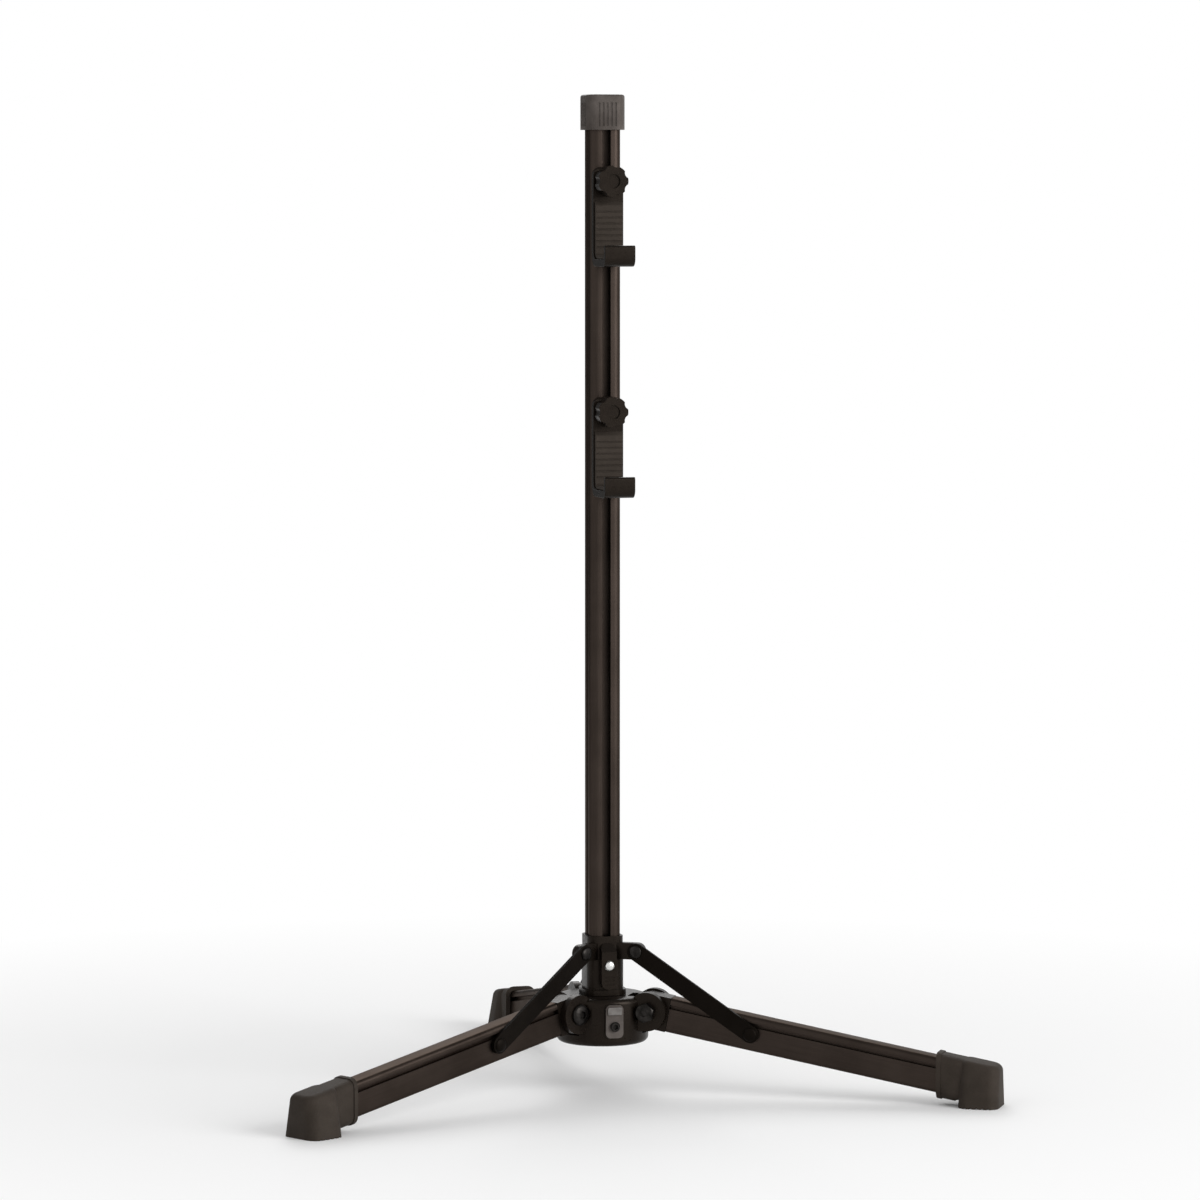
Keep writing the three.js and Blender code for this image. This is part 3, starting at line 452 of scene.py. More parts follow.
def powderFinish(name):
    look = powder
    finish, tree, shader = newFinish(name, look["tones"][0], look["middle"])
    peel = grain(tree, patternPlace(tree), look["peelSize"], 1, look["peelRoughness"])
    cloud = grain(tree, patternPlace(tree), look["cloudSize"], 4)
    coat(tree, shader, tones(tree, cloud, look["stops"], look["tones"]), cloud, look["rough"])
    shine(shader, look["gloss"], look["tint"])
    relief(tree, shader, [(peel, look["peelDepth"], look["peelStrength"])])
    return finish


# matt rubber: the last tone is the dust that lies on the feet

rubber = {
    "tones": ((0.0160, 0.0122, 0.0096), (0.0286, 0.0225, 0.0182), (0.063, 0.053, 0.044)),
    "stops": (0.25, 0.68, 0.9), "gloss": 0.3, "tint": (1.0, 0.86, 0.74), "middle": 0.75,
    "rough": (0.62, 0.82), "cloudSize": 14, "grainSize": 0.6, "grainDepth": 0.06, "grainStrength": 0.5,
}


def rubberFinish(name, dusty):
    look = rubber
    used = 3 if dusty else 2
    finish, tree, shader = newFinish(name, look["tones"][0], look["middle"])
    fine = grain(tree, patternPlace(tree), look["grainSize"], 3)
    cloud = grain(tree, patternPlace(tree), look["cloudSize"], 5)
    colour = tones(tree, cloud, look["stops"][:used], look["tones"][:used])
    coat(tree, shader, colour, fine, look["rough"])
    shine(shader, look["gloss"], look["tint"])
    relief(tree, shader, [(fine, look["grainDepth"], look["grainStrength"])])
    return finish


# plated or blackened steel with turning marks and faint stains

steel = {
    "zinc": {"tones": ((0.55, 0.55, 0.53), (0.78, 0.78, 0.76)), "rough": (0.2, 0.34)},
    "oxide": {"tones": ((0.012, 0.011, 0.010), (0.034, 0.031, 0.029)), "rough": (0.30, 0.46)},
    "badge": {"tones": ((0.12, 0.11, 0.105), (0.19, 0.18, 0.17)), "rough": (0.3, 0.45)},
    "stops": (0.3, 0.65), "markSize": 0.25, "markDepth": 0.01, "markStrength": 0.3, "stainSize": 4,
}


def steelFinish(name, kind):
    look, plating = steel, steel[kind]
    finish, tree, shader = newFinish(name, plating["tones"][1], plating["rough"][0], 1.0)
    marks = grain(tree, patternPlace(tree), look["markSize"], 2)
    stains = grain(tree, patternPlace(tree), look["stainSize"], 4)
    coat(tree, shader, tones(tree, stains, look["stops"], plating["tones"]), marks, plating["rough"])
    relief(tree, shader, [(marks, look["markDepth"], look["markStrength"])])
    return finish


postFinish = anodisedFinish("satinBlackPost", (0, 0, 0), 2)
legFinish = {
    leg: anodisedFinish("satinBlackLeg." + leg, (0, legSlope, math.radians(bearing)), 0)
    for leg, bearing in linkage["bearings"].items()
}
nylonFinish = mouldedFinish("blackNylon", "black")
capFinish = mouldedFinish("greyNylon", "grey")
braceFinish = powderFinish("blackPowderCoat")
footFinish = rubberFinish("footRubber", True)
linerFinish = rubberFinish("linerRubber", False)
zincFinish = steelFinish("brightZinc", "zinc")
oxideFinish = steelFinish("blackOxide", "oxide")
badgeFinish = steelFinish("satinBadge", "badge")
print("finishes made:", len(bpy.data.materials))

# upright: slotted extrusion

upright = {
    "width": 22.5, "corner": 5.5, "low": 40, "high": 700, "lip": 2, "slot": 6, "channel": 11,
    "channelDepth": 5, "overlap": 1, "groove": 4, "grooveDepth": 0.7, "edge": 0.3,
}


def makeUpright():
    size = upright
    half, slotHalf, channelHalf = size["width"] / 2, size["slot"] / 2, size["channel"] / 2
    bar = roundedBar(size["width"], size["width"], size["low"], size["high"], size["corner"], 10)
    ends = (size["low"] - past, size["high"] + past)
    slotBack = half - size["lip"] - size["channelDepth"]
    tools = [
        block(-slotHalf, slotHalf, -half - past, -slotBack - size["overlap"], *ends),
        block(-channelHalf, channelHalf, -half + size["lip"], -slotBack, *ends),
    ]
    for bearing in (0, 90, 180):
        groove = block(
            half - size["grooveDepth"], half + past, -size["groove"] / 2, size["groove"] / 2, *ends,
        )
        tools.append(placed(groove, turned(bearing, "Z")))
    finishPiece(
        "uprightBar", cut(bar, *tools), "base", ["post_extrusion"], postFinish,
        size["edge"],
    )


makeUpright()

# cap on the upright

topCap = {
    "width": 28.5, "corner": 7.5, "low": 687.3, "high": 712.3, "crown": 2,
    "socket": 23.1, "socketCorner": 5.8, "roof": 700.3,
    "ribs": 5, "ribPitch": 3.0, "ribWidth": 1.3, "ribDepth": 0.55,
    "ribLow": 690, "ribHigh": 706.5, "edge": 0.35,
}


def makeTopCap():
    size = topCap
    shell = roundedBar(size["width"], size["width"], size["low"], size["high"], size["corner"], 10)
    roundEdges(shell, rimEdges(shell, size["high"]), size["crown"], 6)
    socket = roundedBar(
        size["socket"], size["socket"], size["low"] - past, size["roof"], size["socketCorner"],
    )
    slots = []
    for bearing in (0, 90, 180, 270):
        for step in range(size["ribs"]):
            y = (step - (size["ribs"] - 1) / 2) * size["ribPitch"]
            slot = block(
                size["width"] / 2 - size["ribDepth"], size["width"] / 2 + 3,
                y - size["ribWidth"] / 2, y + size["ribWidth"] / 2, size["ribLow"], size["ribHigh"],
            )
            slots.append(placed(slot, turned(bearing, "Z")))
    shell = cut(shell, socket, loose(slots))
    finishPiece("topCap", shell, "base", ["post_top_cap"], capFinish, size["edge"])


makeTopCap()
print("upright and cap made")

# hub: three forked seats round a drum

hub = {
    "radius": 33, "low": 35, "high": 69, "rim": 4, "cheekGap": 16.8, "cheekWall": 5, "cheekRadius": 14,
    "webDegrees": 20, "slotInner": 20.5, "slotFloor": 42.5, "slotRise": 20,
    "pad": 14, "padCorner": 4, "padInner": 12, "padReach": 35, "padLow": 41, "padHigh": 66,
    "neckSocket": 27.6, "neckCorner": 7.3, "socketLow": 46,
    "postHole": 23.1, "postHoleCorner": 5.8, "postHoleLow": 39.7, "coverRadius": 27, "coverTop": 38.6,
    "boltHole": 4.3, "spotRadius": 7.9, "spotDepth": 6.6, "screwCircle": 18, "screwHole": 2.3,
    "screwTop": 45.6, "setScrewUp": 50, "setScrewHole": 2.8, "setScrewInner": 8, "edge": 0.7,
}

# a plate over the hub's front pad; its lighter grey finish is painted reflection of the front light on the
# flat pad
frontPlate = {
    "thick": 1.2, "inset": 0.6, "corner": 3.4, "badgeWidth": 10.4, "badgeHeight": 5.5, "badgeUp": 61,
    "badgeProud": 0.8, "badgeCorner": 1, "edge": 0.25,
}


def makeHub():
    size = hub
    outer = size["cheekGap"] / 2 + size["cheekWall"]
    rim, inner = size["rim"], size["radius"] - size["rim"]
    quarter = [math.radians(15 * step) for step in range(7)]
    profile = [(0, size["low"])]
    profile += [(inner + rim * math.sin(a), size["low"] + rim - rim * math.cos(a)) for a in quarter]
    profile += [(inner + rim * math.cos(a), size["high"] - rim + rim * math.sin(a)) for a in quarter]
    drum = spun(profile + [(0, size["high"])], 96)
    out, up, cheek = linkage["pivotReach"], linkage["pivotHeight"], size["cheekRadius"]
    pin = moved(out, 0, up) @ towardsSide
    lean = math.radians(size["webDegrees"])
    cheeks, slots, holes = [], [], []
    for bearing in linkage["bearings"].values():
        spoke = spokePlace(bearing)
        eye = placed(rod(cheek, -outer, outer, 64), pin)
        web = sideShape([
            (size["slotInner"], up - cheek, 0, 0), (out, up - cheek, 0, 0),
            (out - cheek * math.sin(lean), up + cheek * math.cos(lean), 0, 0),
            (size["slotInner"], size["high"] - rim, 0, 0),
        ], 2 * outer)
        cheeks.append(placed(joined(eye, web), spoke))
        slots.append(placed(block(
            size["slotInner"], out + cheek + 4, -size["cheekGap"] / 2, size["cheekGap"] / 2,
            size["slotFloor"], up + size["slotRise"],
        ), spoke))
        holes.append(placed(rod(size["boltHole"], -outer - 1, outer + 1), spoke @ pin))
        for side in (-1, 1):
            ends = sorted((side * outer, side * (outer + size["spotDepth"])))
            holes.append(placed(rod(size["spotRadius"], *ends), spoke @ pin))
        screw = rod(size["screwHole"], size["low"] - 2, size["screwTop"], 24)
        holes.append(placed(screw, spokePlace(bearing + 180) @ moved(size["screwCircle"], 0, 0)))
    pad = atFront(roundedBar(
        size["pad"], size["padHigh"] - size["padLow"], size["padInner"],
        size["padReach"] - frontPlate["thick"], size["padCorner"], 6,
    ), (size["padHigh"] + size["padLow"]) / 2)
    body = joined(drum, *cheeks, pad)
    neckSocket, postHole = size["neckSocket"], size["postHole"]
    setScrew = rod(size["setScrewHole"], size["setScrewInner"], size["padReach"] + 4, 24)
    centre = [
        roundedBar(neckSocket, neckSocket, size["socketLow"], size["high"] + past, size["neckCorner"]),
        roundedBar(postHole, postHole, size["postHoleLow"], size["socketLow"] + 3, size["postHoleCorner"]),
        rod(size["coverRadius"], size["low"] - 3, size["coverTop"], 96),
        atFront(setScrew, size["setScrewUp"]),
    ]
    body = cut(body, *slots, *holes, *centre)
    finishPiece("hubBody", body, "base", ["hub_casting"], nylonFinish, size["edge"], 3)


makeHub()


def makeFrontPlates():
    size = frontPlate
    low, high = hub["padLow"] + size["inset"], hub["padHigh"] - size["inset"]
    reach = hub["padReach"]
    under = reach - size["thick"]
    plate = roundedBar(hub["pad"] - 2 * size["inset"], high - low, under, reach, size["corner"], 6)
    atFront(plate, (low + high) / 2)
    hole = atFront(rod(hub["setScrewHole"], under - 2, reach + 2, 24), hub["setScrewUp"])
    # the grey nylon finish here is painted reflection: it makes the flat front pad lighter than the black
    # hub, as the front light would
    finishPiece(
        "frontPlate", cut(plate, hole), "base", ["hub_casting"], capFinish, size["edge"],
    )
    badge = roundedBar(
        size["badgeWidth"], size["badgeHeight"], reach, reach + size["badgeProud"], size["badgeCorner"], 4,
    )
    atFront(badge, size["badgeUp"])
    finishPiece("frontBadge", badge, "base", ["hub_casting"], badgeFinish, size["edge"])


makeFrontPlates()

# neck sleeve

neck = {
    "width": 27, "corner": 7, "low": 46.3, "high": 95,
    "flange": 31, "flangeCorner": 9, "flangeLow": 69.3, "flangeHigh": 73.3, "bore": 23.1, "boreCorner": 5.8,
    "catchUp": 91.5, "catchRadius": 3.55, "catchInner": 11, "catchOuter": 20, "edge": 0.45,
}


def makeNeck():
    size = neck
    wide = size["flange"]
    body = joined(
        roundedBar(size["width"], size["width"], size["low"], size["high"], size["corner"], 10),
        roundedBar(wide, wide, size["flangeLow"], size["flangeHigh"], size["flangeCorner"], 10),
    )
    catch = atFront(rod(size["catchRadius"], size["catchInner"], size["catchOuter"]), size["catchUp"])
    bore = roundedBar(size["bore"], size["bore"], size["low"] - 3, size["high"] + 3, size["boreCorner"])
    body = cut(body, bore, catch)
    finishPiece("neckSleeve", body, "base", ["neck_sleeve"], nylonFinish, size["edge"])


makeNeck()
print("hub and neck made")

# collar that the braces hang from, and its tongue

collar = {
    "width": 26.4, "corner": 6.8, "low": 95.3, "high": 111.8, "bore": 23.3, "boreCorner": 5.9,
    "ear": 6, "earThick": 5, "pinHole": 3.3, "tongue": 11, "tongueLow": 74.1, "tongueHigh": 107.3,
    "tongueInner": 12.2, "tongueBack": 13.8, "tongueFront": 19.8, "tongueCorner": 5.2,
    "slantStart": 101.3, "trimHalf": 12, "buttonUp": 91.5, "buttonHole": 3.55, "holeInner": 14,
    "pocket": 4.5, "pocketInner": 11.3, "lip": 1.2, "ridges": 3, "ridgeLow": 77.5, "ridgePitch": 2.6,
    "ridgeHalf": 3.6, "ridgeTall": 1.1, "ridgeDepth": 0.5, "edge": 0.5,
}


def makeTongue():
    size = collar
    low, high, front, wide = size["tongueLow"], size["tongueHigh"], size["tongueFront"], size["trimHalf"]
    tongue = atFront(
        roundedBar(size["tongue"], high - low, size["tongueInner"], front, size["tongueCorner"], 10),
        (high + low) / 2,
    )
    behind = block(-wide, wide, -size["tongueBack"], 0, low - 3, size["low"])
    slant = placed(sideShape([
        (front, size["slantStart"], 0, 0), (front + 3, size["slantStart"], 0, 0), (front + 3, high + 3, 0, 0),
        (size["width"] / 2, high + 3, 0, 0), (size["width"] / 2, high, 0, 0),
    ], 2 * wide), turned(-90, "Z"))
    return cut(tongue, behind, slant)


def makeCollar():
    size = collar
    ring = roundedBar(size["width"], size["width"], size["low"], size["high"], size["corner"], 10)
    near, far = linkage["legWidth"] / 2, linkage["legWidth"] / 2 - size["earThick"]
    ears, pins = [], []
    for name, bearing in linkage["bearings"].items():
        place = spokePlace(bearing) @ moved(linkage["earReach"], 0, linkage["earHeight"]) @ facing(name)
        ears.append(placed(rod(size["ear"], far, near), place @ towardsSide))
        ears.append(placed(block(-linkage["earReach"], 0, far, near, -size["ear"], size["ear"]), place))
        pins.append(placed(rod(size["pinHole"], far - 4, near + 4, 32), place @ towardsSide))
    tongue = makeTongue()
    front = size["tongueFront"]
    ridges = []
    for step in range(size["ridges"]):
        up = size["ridgeLow"] + step * size["ridgePitch"]
        ridges.append(block(
            -size["ridgeHalf"], size["ridgeHalf"], -front - 2, -front + size["ridgeDepth"],
            up, up + size["ridgeTall"],
        ))
    cuts = [
        roundedBar(size["bore"], size["bore"], size["low"] - 4, size["high"] + 4, size["boreCorner"]),
        atFront(rod(size["buttonHole"], size["holeInner"], front + 3), size["buttonUp"]),
        atFront(rod(size["pocket"], size["pocketInner"], front - size["lip"]), size["buttonUp"]),
        loose(ridges),
    ]
    body = cut(joined(ring, *ears, tongue), *cuts, *pins)
    finishPiece("collarBody", body, "collar", ["collar"], nylonFinish, size["edge"], 3)


makeCollar()

# sprung button in the tongue

button = {
    "back": 13.8, "stem": 1.6, "flange": 4.2, "flangeBack": 17.3, "flangeFront": 18.3, "radius": 3.25,
    "nose": 22.4, "dome": 1.1,
}


def makeButton():
    size = button
    shoulder = size["nose"] - size["dome"]
    profile = [
        (0, size["back"]), (size["stem"], size["back"]), (size["stem"], size["flangeBack"]),
        (size["flange"], size["flangeBack"]), (size["flange"], size["flangeFront"]),
        (size["radius"], size["flangeFront"]),
    ]
    for angle in [math.radians(10 * step) for step in range(9)]:
        profile.append((size["radius"] * math.cos(angle), shoulder + size["dome"] * math.sin(angle)))
    shape = atFront(spun(profile + [(0, size["nose"])], 48), collar["buttonUp"])
    finishPiece("pressButton", shape, "snap_button", ["snap_button"], zincFinish, 0)


makeButton()

# coil behind the button

catchSpring = {
    "back": 14.95, "front": 16.75, "radius": 3.05, "wire": 0.25, "wireSteps": 12, "turns": 2, "steps": 72,
    "seat": 14.7, "pressed": 0.22,
}


def makeCatchSpring():
    size = catchSpring
    shape = bmesh.new()
    bmesh.ops.create_circle(shape, cap_ends=False, segments=size["wireSteps"], radius=size["wire"])
    placed(shape, moved(size["radius"], 0, size["back"]) @ turned(90, "X"))
    bmesh.ops.spin(
        shape, geom=shape.verts[:] + shape.edges[:], cent=(0, 0, 0), axis=(0, 0, 1),
        dvec=(0, 0, (size["front"] - size["back"]) / size["steps"]),
        angle=math.tau * size["turns"], steps=size["steps"], use_merge=False, use_duplicate=False,
    )
    bmesh.ops.holes_fill(shape, edges=[edge for edge in shape.edges if edge.is_boundary], sides=0)
    atFront(shape, collar["buttonUp"])
    coil = finishPiece("catchSpring", shape, "collar", ["button_spring"], zincFinish, 0)
    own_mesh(coil)


makeCatchSpring()
print("collar, button and spring made")

# legs

leg = {
    "width": linkage["legWidth"], "height": 25, "corner": 3, "start": 15.3, "toe": 8,
    "groove": 3.2, "grooveDepth": 3.5, "grooveDrop": 4.6, "pinHole": 3.3, "boltHole": 4.3,
    "rootGap": 0.3, "edge": 0.25, "rootEdge": 0.8,
}
legEnd = legRun / math.cos(legSlope) - leg["toe"]


def makeLeg(name, bearing):
    size = leg
    half, side = size["height"] / 2, size["width"] / 2
    tube = placed(roundedBar(size["height"], size["width"], size["start"], legEnd, size["corner"], 6), alongX)
    pinPlace = moved(linkage["lowerPinReach"], 0, 0) @ towardsSide
    tools = [placed(rod(size["pinHole"], -drillHalf, drillHalf, 32), pinPlace)]
    top = half - size["grooveDrop"]
    for sign in (-1, 1):
        ends = sorted((sign * (side - size["grooveDepth"]), sign * (side + 3)))
        tools.append(block(0, legEnd + past, *ends, top - size["groove"], top))
    tube = placed(cut(tube, *tools), legPlace(bearing))
    finishPiece(
        "legTube." + name, tube, "leg_" + name, ["leg_tube_" + name], legFinish[name],
        size["edge"],
    )

    root = joined(
        placed(rod(half, -side, side, 72), towardsSide),
        block(0, size["start"] - size["rootGap"], -side, side, -half, half),
    )
    root = cut(root, placed(rod(size["boltHole"], -drillHalf, drillHalf), towardsSide))
    finishPiece(
        "legRoot." + name, placed(root, legPlace(bearing)), "leg_" + name, ["leg_root_" + name],
        nylonFinish, size["rootEdge"], 3,
    )


# rubber feet

foot = {
    "length": 45, "wall": 3, "sole": 35, "topWidth": 24, "padLength": 29, "planCorner": 8,
    "crown": 4, "crownBand": 0.4, "overlap": 8, "lip": 0.7, "lipLength": 3.2, "sleeveRun": (120, 270),
    "socketGap": 0.3, "socketStart": 100, "notch": 3, "notchDepth": 2,
    "tread": 1.6, "treadDepth": 0.8, "treadStart": 5, "treadPitch": 4.2, "treads": 5,
    "cutHalf": 30, "cutTop": 80, "edge": 0.8,
}


def legAxisUp(out):
    return linkage["pivotHeight"] - (out - linkage["pivotReach"]) * math.tan(legSlope)


def makePad(heel, reach, halfTall):
    # wide at the sole, narrow on top, and sloped on top like the leg
    size = foot
    top = legAxisUp(heel) + halfTall
    drop = legAxisUp(heel) - legAxisUp(reach)
    pad = block(heel, reach, -size["sole"] / 2, size["sole"] / 2, 0, top)
    for vertex in pad.verts:
        if vertex.co.z > top / 2:
            vertex.co.y *= size["topWidth"] / size["sole"]
            if vertex.co.x > reach - 1:
                vertex.co.z -= drop
    steep = [edge for edge in pad.edges if abs(edge.verts[0].co.z - edge.verts[1].co.z) > top / 2 - 2]
    roundEdges(pad, steep, size["planCorner"], 8)
    under = halfTall - size["crownBand"]
    crown = [
        edge for edge in pad.edges
        if all(v.co.z > top / 2 and v.co.z > legAxisUp(v.co.x) + under for v in edge.verts)
    ]
    return roundEdges(pad, crown, size["crown"], 6)


def makeFoot(name, bearing):
    size = foot
    reach, wide, gap = linkage["footReach"], size["cutHalf"], size["socketGap"]
    halfTall = leg["height"] / 2 / math.cos(legSlope) + size["wall"]
    start, heel = reach - size["length"], reach - size["padLength"]
    sleeveWidth = leg["width"] + 2 * size["wall"]
    sleeveTall = 2 * halfTall * math.cos(legSlope)
    place = legPlace(0) @ alongX

    def sleeve(extra, end):
        bar = roundedBar(
            sleeveTall + 2 * extra, sleeveWidth + 2 * extra, *size["sleeveRun"],
            leg["corner"] + size["wall"] + extra,
        )
        return kept(placed(bar, place), block(start, end, -wide, wide, 0, size["cutTop"]))

    body = joined(
        sleeve(0, heel + size["overlap"]), makePad(heel, reach, halfTall),
        sleeve(size["lip"], start + size["lipLength"]),
    )
    socket = placed(roundedBar(
        leg["height"] + 2 * gap, leg["width"] + 2 * gap, size["socketStart"], legEnd + gap, leg["corner"], 6,
    ), place)
    notchTop = legAxisUp(heel) - halfTall + size["notchDepth"]
    notch = block(heel - size["notch"], heel, -wide, wide, -past, notchTop)
    treads = []
    for step in range(size["treads"]):
        out = heel + size["treadStart"] + step * size["treadPitch"]
        treads.append(block(out, out + size["tread"], -wide, wide, -3, size["treadDepth"]))
    body = placed(cut(body, socket, notch, loose(treads)), spokePlace(bearing))
    finishPiece(
        "footCap." + name, body, "leg_" + name, ["foot_cap_" + name], footFinish,
        size["edge"], 3,
    )


# pivot bolts and nuts

fasteners = {
    "seat": 13.7, "boltRadius": 4, "tail": 3, "headRadius": 7.5, "headRim": 0.7, "headHeight": 3.5,
    "driveRadius": 3.1, "driveDeep": 1.9, "nutRadius": 7.2, "nutHeight": 6, "nutGap": 0.3, "dimple": 2.4,
    "tipShare": 0.84, "fullShare": 1.05, "footShare": 0.95, "tipChamfer": 1.4, "footChamfer": 0.4,
    "boltEdge": 0.15, "nutEdge": 0.2,
}


def domed(radius, low, high, steps=7, flatness=0.75):
    # a flat-bottomed dome profile, from its rim to the axis
    points = [(radius, low)]
    for step in range(1, steps):
        angle = math.radians(90 * step / steps)
        points.append((radius * math.cos(angle) ** flatness, low + (high - low) * math.sin(angle)))
    return points + [(0, high)]


def makePivotFasteners(name, bearing):
    size = fasteners
    seat, head = size["seat"], size["seat"] + size["headHeight"]
    profile = [
        (0, -seat - size["tail"]), (size["boltRadius"], -seat - size["tail"]), (size["boltRadius"], seat),
        (size["headRadius"], seat),
    ]
    bolt = spun(profile + domed(size["headRadius"], seat + size["headRim"], head), 48)
    bolt = cut(bolt, rod(size["driveRadius"], head - size["driveDeep"], head + 2, 6))
    finishPiece(
        "pivotBolt." + name, placed(bolt, legPlace(bearing) @ towardsSide), "base",
        ["leg_pivot_bolt_" + name], oxideFinish, size["boltEdge"],
    )

    radius, low = size["nutRadius"], -seat - size["nutHeight"]
    full = radius * size["fullShare"]
    chamfer = spun([
        (0, low), (radius * size["tipShare"], low), (full, low + size["tipChamfer"]),
        (full, -seat - size["footChamfer"]), (radius * size["footShare"], -seat), (0, -seat),
    ], 48)
    nut = kept(rod(radius, low, -seat, 6), chamfer)
    thread = rod(size["boltRadius"] + size["nutGap"], -seat - size["tail"] - size["nutGap"], 0)
    nut = cut(nut, thread, rod(size["dimple"], low - 1, low + 1, 32))
    finishPiece(
        "pivotNut." + name, placed(nut, legPlace(bearing) @ towardsSide), "base",
        ["leg_pivot_nut_" + name], oxideFinish, size["nutEdge"],
    )


# rivets that the braces turn on

rivet = {"shank": 3, "head": 4.6, "headRim": 0.3, "headHeight": 1.6, "gap": 0.3}


def rivetShape(lowSeat, high, headed):
    size = rivet
    rim = domed(size["head"], size["headRim"], size["headHeight"])
    profile = [(radius, lowSeat - up) for radius, up in reversed(rim)]
    profile += [(size["head"], lowSeat), (size["shank"], lowSeat), (size["shank"], high)]
    if headed:
        profile += [(size["head"], high)] + [(radius, high + up) for radius, up in rim]
    else:
        profile.append((0, high))
    return spun(profile, 40)


def makeRivets(name, bearing):
    half, gap = leg["width"] / 2, rivet["gap"]
    outside = brace["inside"] + brace["thick"]
    upper = rivetShape(half - collar["earThick"] - gap, outside + gap, True)
    placed(upper, bracePlace(bearing) @ facing(name) @ towardsSide)
    finishPiece(
        "upperPin." + name, upper, "collar", ["brace_upper_pin_" + name], oxideFinish, 0,
    )
    lower = rivetShape(-half - gap, half, False)
    along = moved(linkage["lowerPinReach"], 0, 0)
    placed(lower, legPlace(bearing) @ along @ facing(name) @ towardsSide)
    finishPiece(
        "lowerPin." + name, lower, "leg_" + name, ["brace_lower_pin_" + name], oxideFinish, 0,
    )


# braces: flat bars with a round end at each rivet

brace = {
    "inside": 8.4, "thick": 3, "depth": 12.5, "pinHole": 3.3,
    "head": 4.8, "headSunk": 1, "headRim": 0.4, "headHeight": 1.8, "edge": 0.5,
}


def makeBrace(name, bearing):
    size = brace
    half, inside, outside = size["depth"] / 2, size["inside"], size["inside"] + size["thick"]
    farEnd = moved(braceLength, 0, 0) @ towardsSide
    bar = joined(
        block(0, braceLength, inside, outside, -half, half),
        placed(rod(half, inside, outside, 72), towardsSide),
        placed(rod(half, inside, outside, 72), farEnd),
    )
    bar = cut(bar, placed(rod(size["pinHole"], 0, drillHalf, 40), towardsSide))
    sunk = outside - size["headSunk"]
    head = [(0, sunk), (size["head"], sunk)]
    head += domed(size["head"], outside + size["headRim"], outside + size["headHeight"])
    bar = joined(bar, placed(spun(head, 40), farEnd))
    placed(bar, bracePlace(bearing) @ facing(name))
    finishPiece(
        "brace." + name, bar, "brace_" + name, ["brace_" + name], braceFinish, size["edge"],
    )


for legName, legBearing in linkage["bearings"].items():
    for makePart in (makeLeg, makeFoot, makePivotFasteners, makeRivets, makeBrace):
        makePart(legName, legBearing)
    print("leg, foot and brace made:", legName)

# hooks that slide on the upright

hook = {
    "bottoms": {"upper": 591, "lower": 428}, "width": 22, "height": 70, "plate": 5, "arm": 5,
    "reach": 50, "tipRise": 13, "tip": 4, "tipCorner": 1.95, "tipFillet": 4, "fillet": 6, "outer": 9,
    "topEdge": 3, "faceCorner": 6, "key": 5.4, "keyLow": 16, "keyHigh": 54, "keyDepth": 1.6, "keySunk": 0.5,
    "studHole": 2.8, "studUp": 60, "studInner": 5, "studOuter": 20, "edge": 0.7,
}
hookBack = 11.55
hookFront = hookBack + hook["plate"]


def makeHook(name, bottom):
    size = hook
    reach, height, arm, corner = size["reach"], size["height"], size["arm"], size["tipCorner"]
    tipInner, tipTop = reach - size["tip"], size["tipRise"] + size["tip"] / 2
    profile = sideShape([
        (hookBack, 0, size["outer"], 10), (reach, 0, size["fillet"], 8), (reach, tipTop, corner, 6),
        (tipInner, tipTop, corner, 6), (tipInner, arm, size["tipFillet"], 6),
        (hookFront, arm, size["fillet"], 8), (hookFront, height, size["topEdge"], 6),
        (hookBack, height, 0, 0),
    ], size["width"])
    face = atFront(
        roundedBar(size["width"], height + size["outer"], 0, reach + past, size["faceCorner"]),
        (height - size["outer"]) / 2,
    )
    body = kept(placed(profile, turned(-90, "Z")), face)
    key = block(
        -size["key"] / 2, size["key"] / 2, -hookFront + size["keySunk"], size["keyDepth"] - hookBack,
        size["keyLow"], size["keyHigh"],
    )
    stud = atFront(rod(size["studHole"], size["studInner"], size["studOuter"], 32), size["studUp"])
    body = placed(cut(joined(body, key), stud), moved(0, 0, bottom))
    finishPiece(
        "hookBody." + name, body, name + "_hook", [name + "_hook_body"], nylonFinish,
        size["edge"], 3,
    )


liner = {
    "thick": 2.5, "width": 20, "rise": 46, "inset": 3, "gap": 0.3, "armGrooves": 5, "plateGrooves": 7,
    "grooveStart": 5, "groovePitch": 4.2, "grooveWidth": 1.0, "grooveDepth": 0.6, "cutHalf": 12, "edge": 0.4,
}


def makeLiner(name, bottom):
    size = liner
    back, low = hookFront + size["gap"], hook["arm"] + size["gap"]
    tip = hook["reach"] - hook["tip"] - size["gap"]
    front, floor = back + size["thick"], low + size["thick"]
    profile = sideShape([
        (back, size["rise"], 0, 0), (back, low, 5.7, 8), (tip, low, 3.7, 6), (tip, hook["tipRise"], 0, 0),
        (tip - size["thick"], hook["tipRise"], 0.8, 3), (tip - size["thick"], floor, 1.2, 4),
        (front, floor, 3.2, 6), (front, size["rise"] - size["inset"], 0.6, 3),
    ], size["width"])
    placed(profile, turned(-90, "Z"))
    wide, groove, deep = size["cutHalf"], size["grooveWidth"], size["grooveDepth"]
    grooves = []
    for step in range(size["armGrooves"]):
        out = front + size["grooveStart"] + step * size["groovePitch"]
        grooves.append(block(-wide, wide, -out - groove, -out, floor - deep, floor + 4))
    for step in range(size["plateGrooves"]):
        up = floor + size["grooveStart"] + step * size["groovePitch"]
        grooves.append(block(-wide, wide, -front - 3, -front + deep, up, up + groove))
    body = placed(cut(profile, loose(grooves)), moved(0, 0, bottom))
    finishPiece(
        "hookLiner." + name, body, name + "_hook", [name + "_hook_liner"], linerFinish,
        size["edge"],
    )


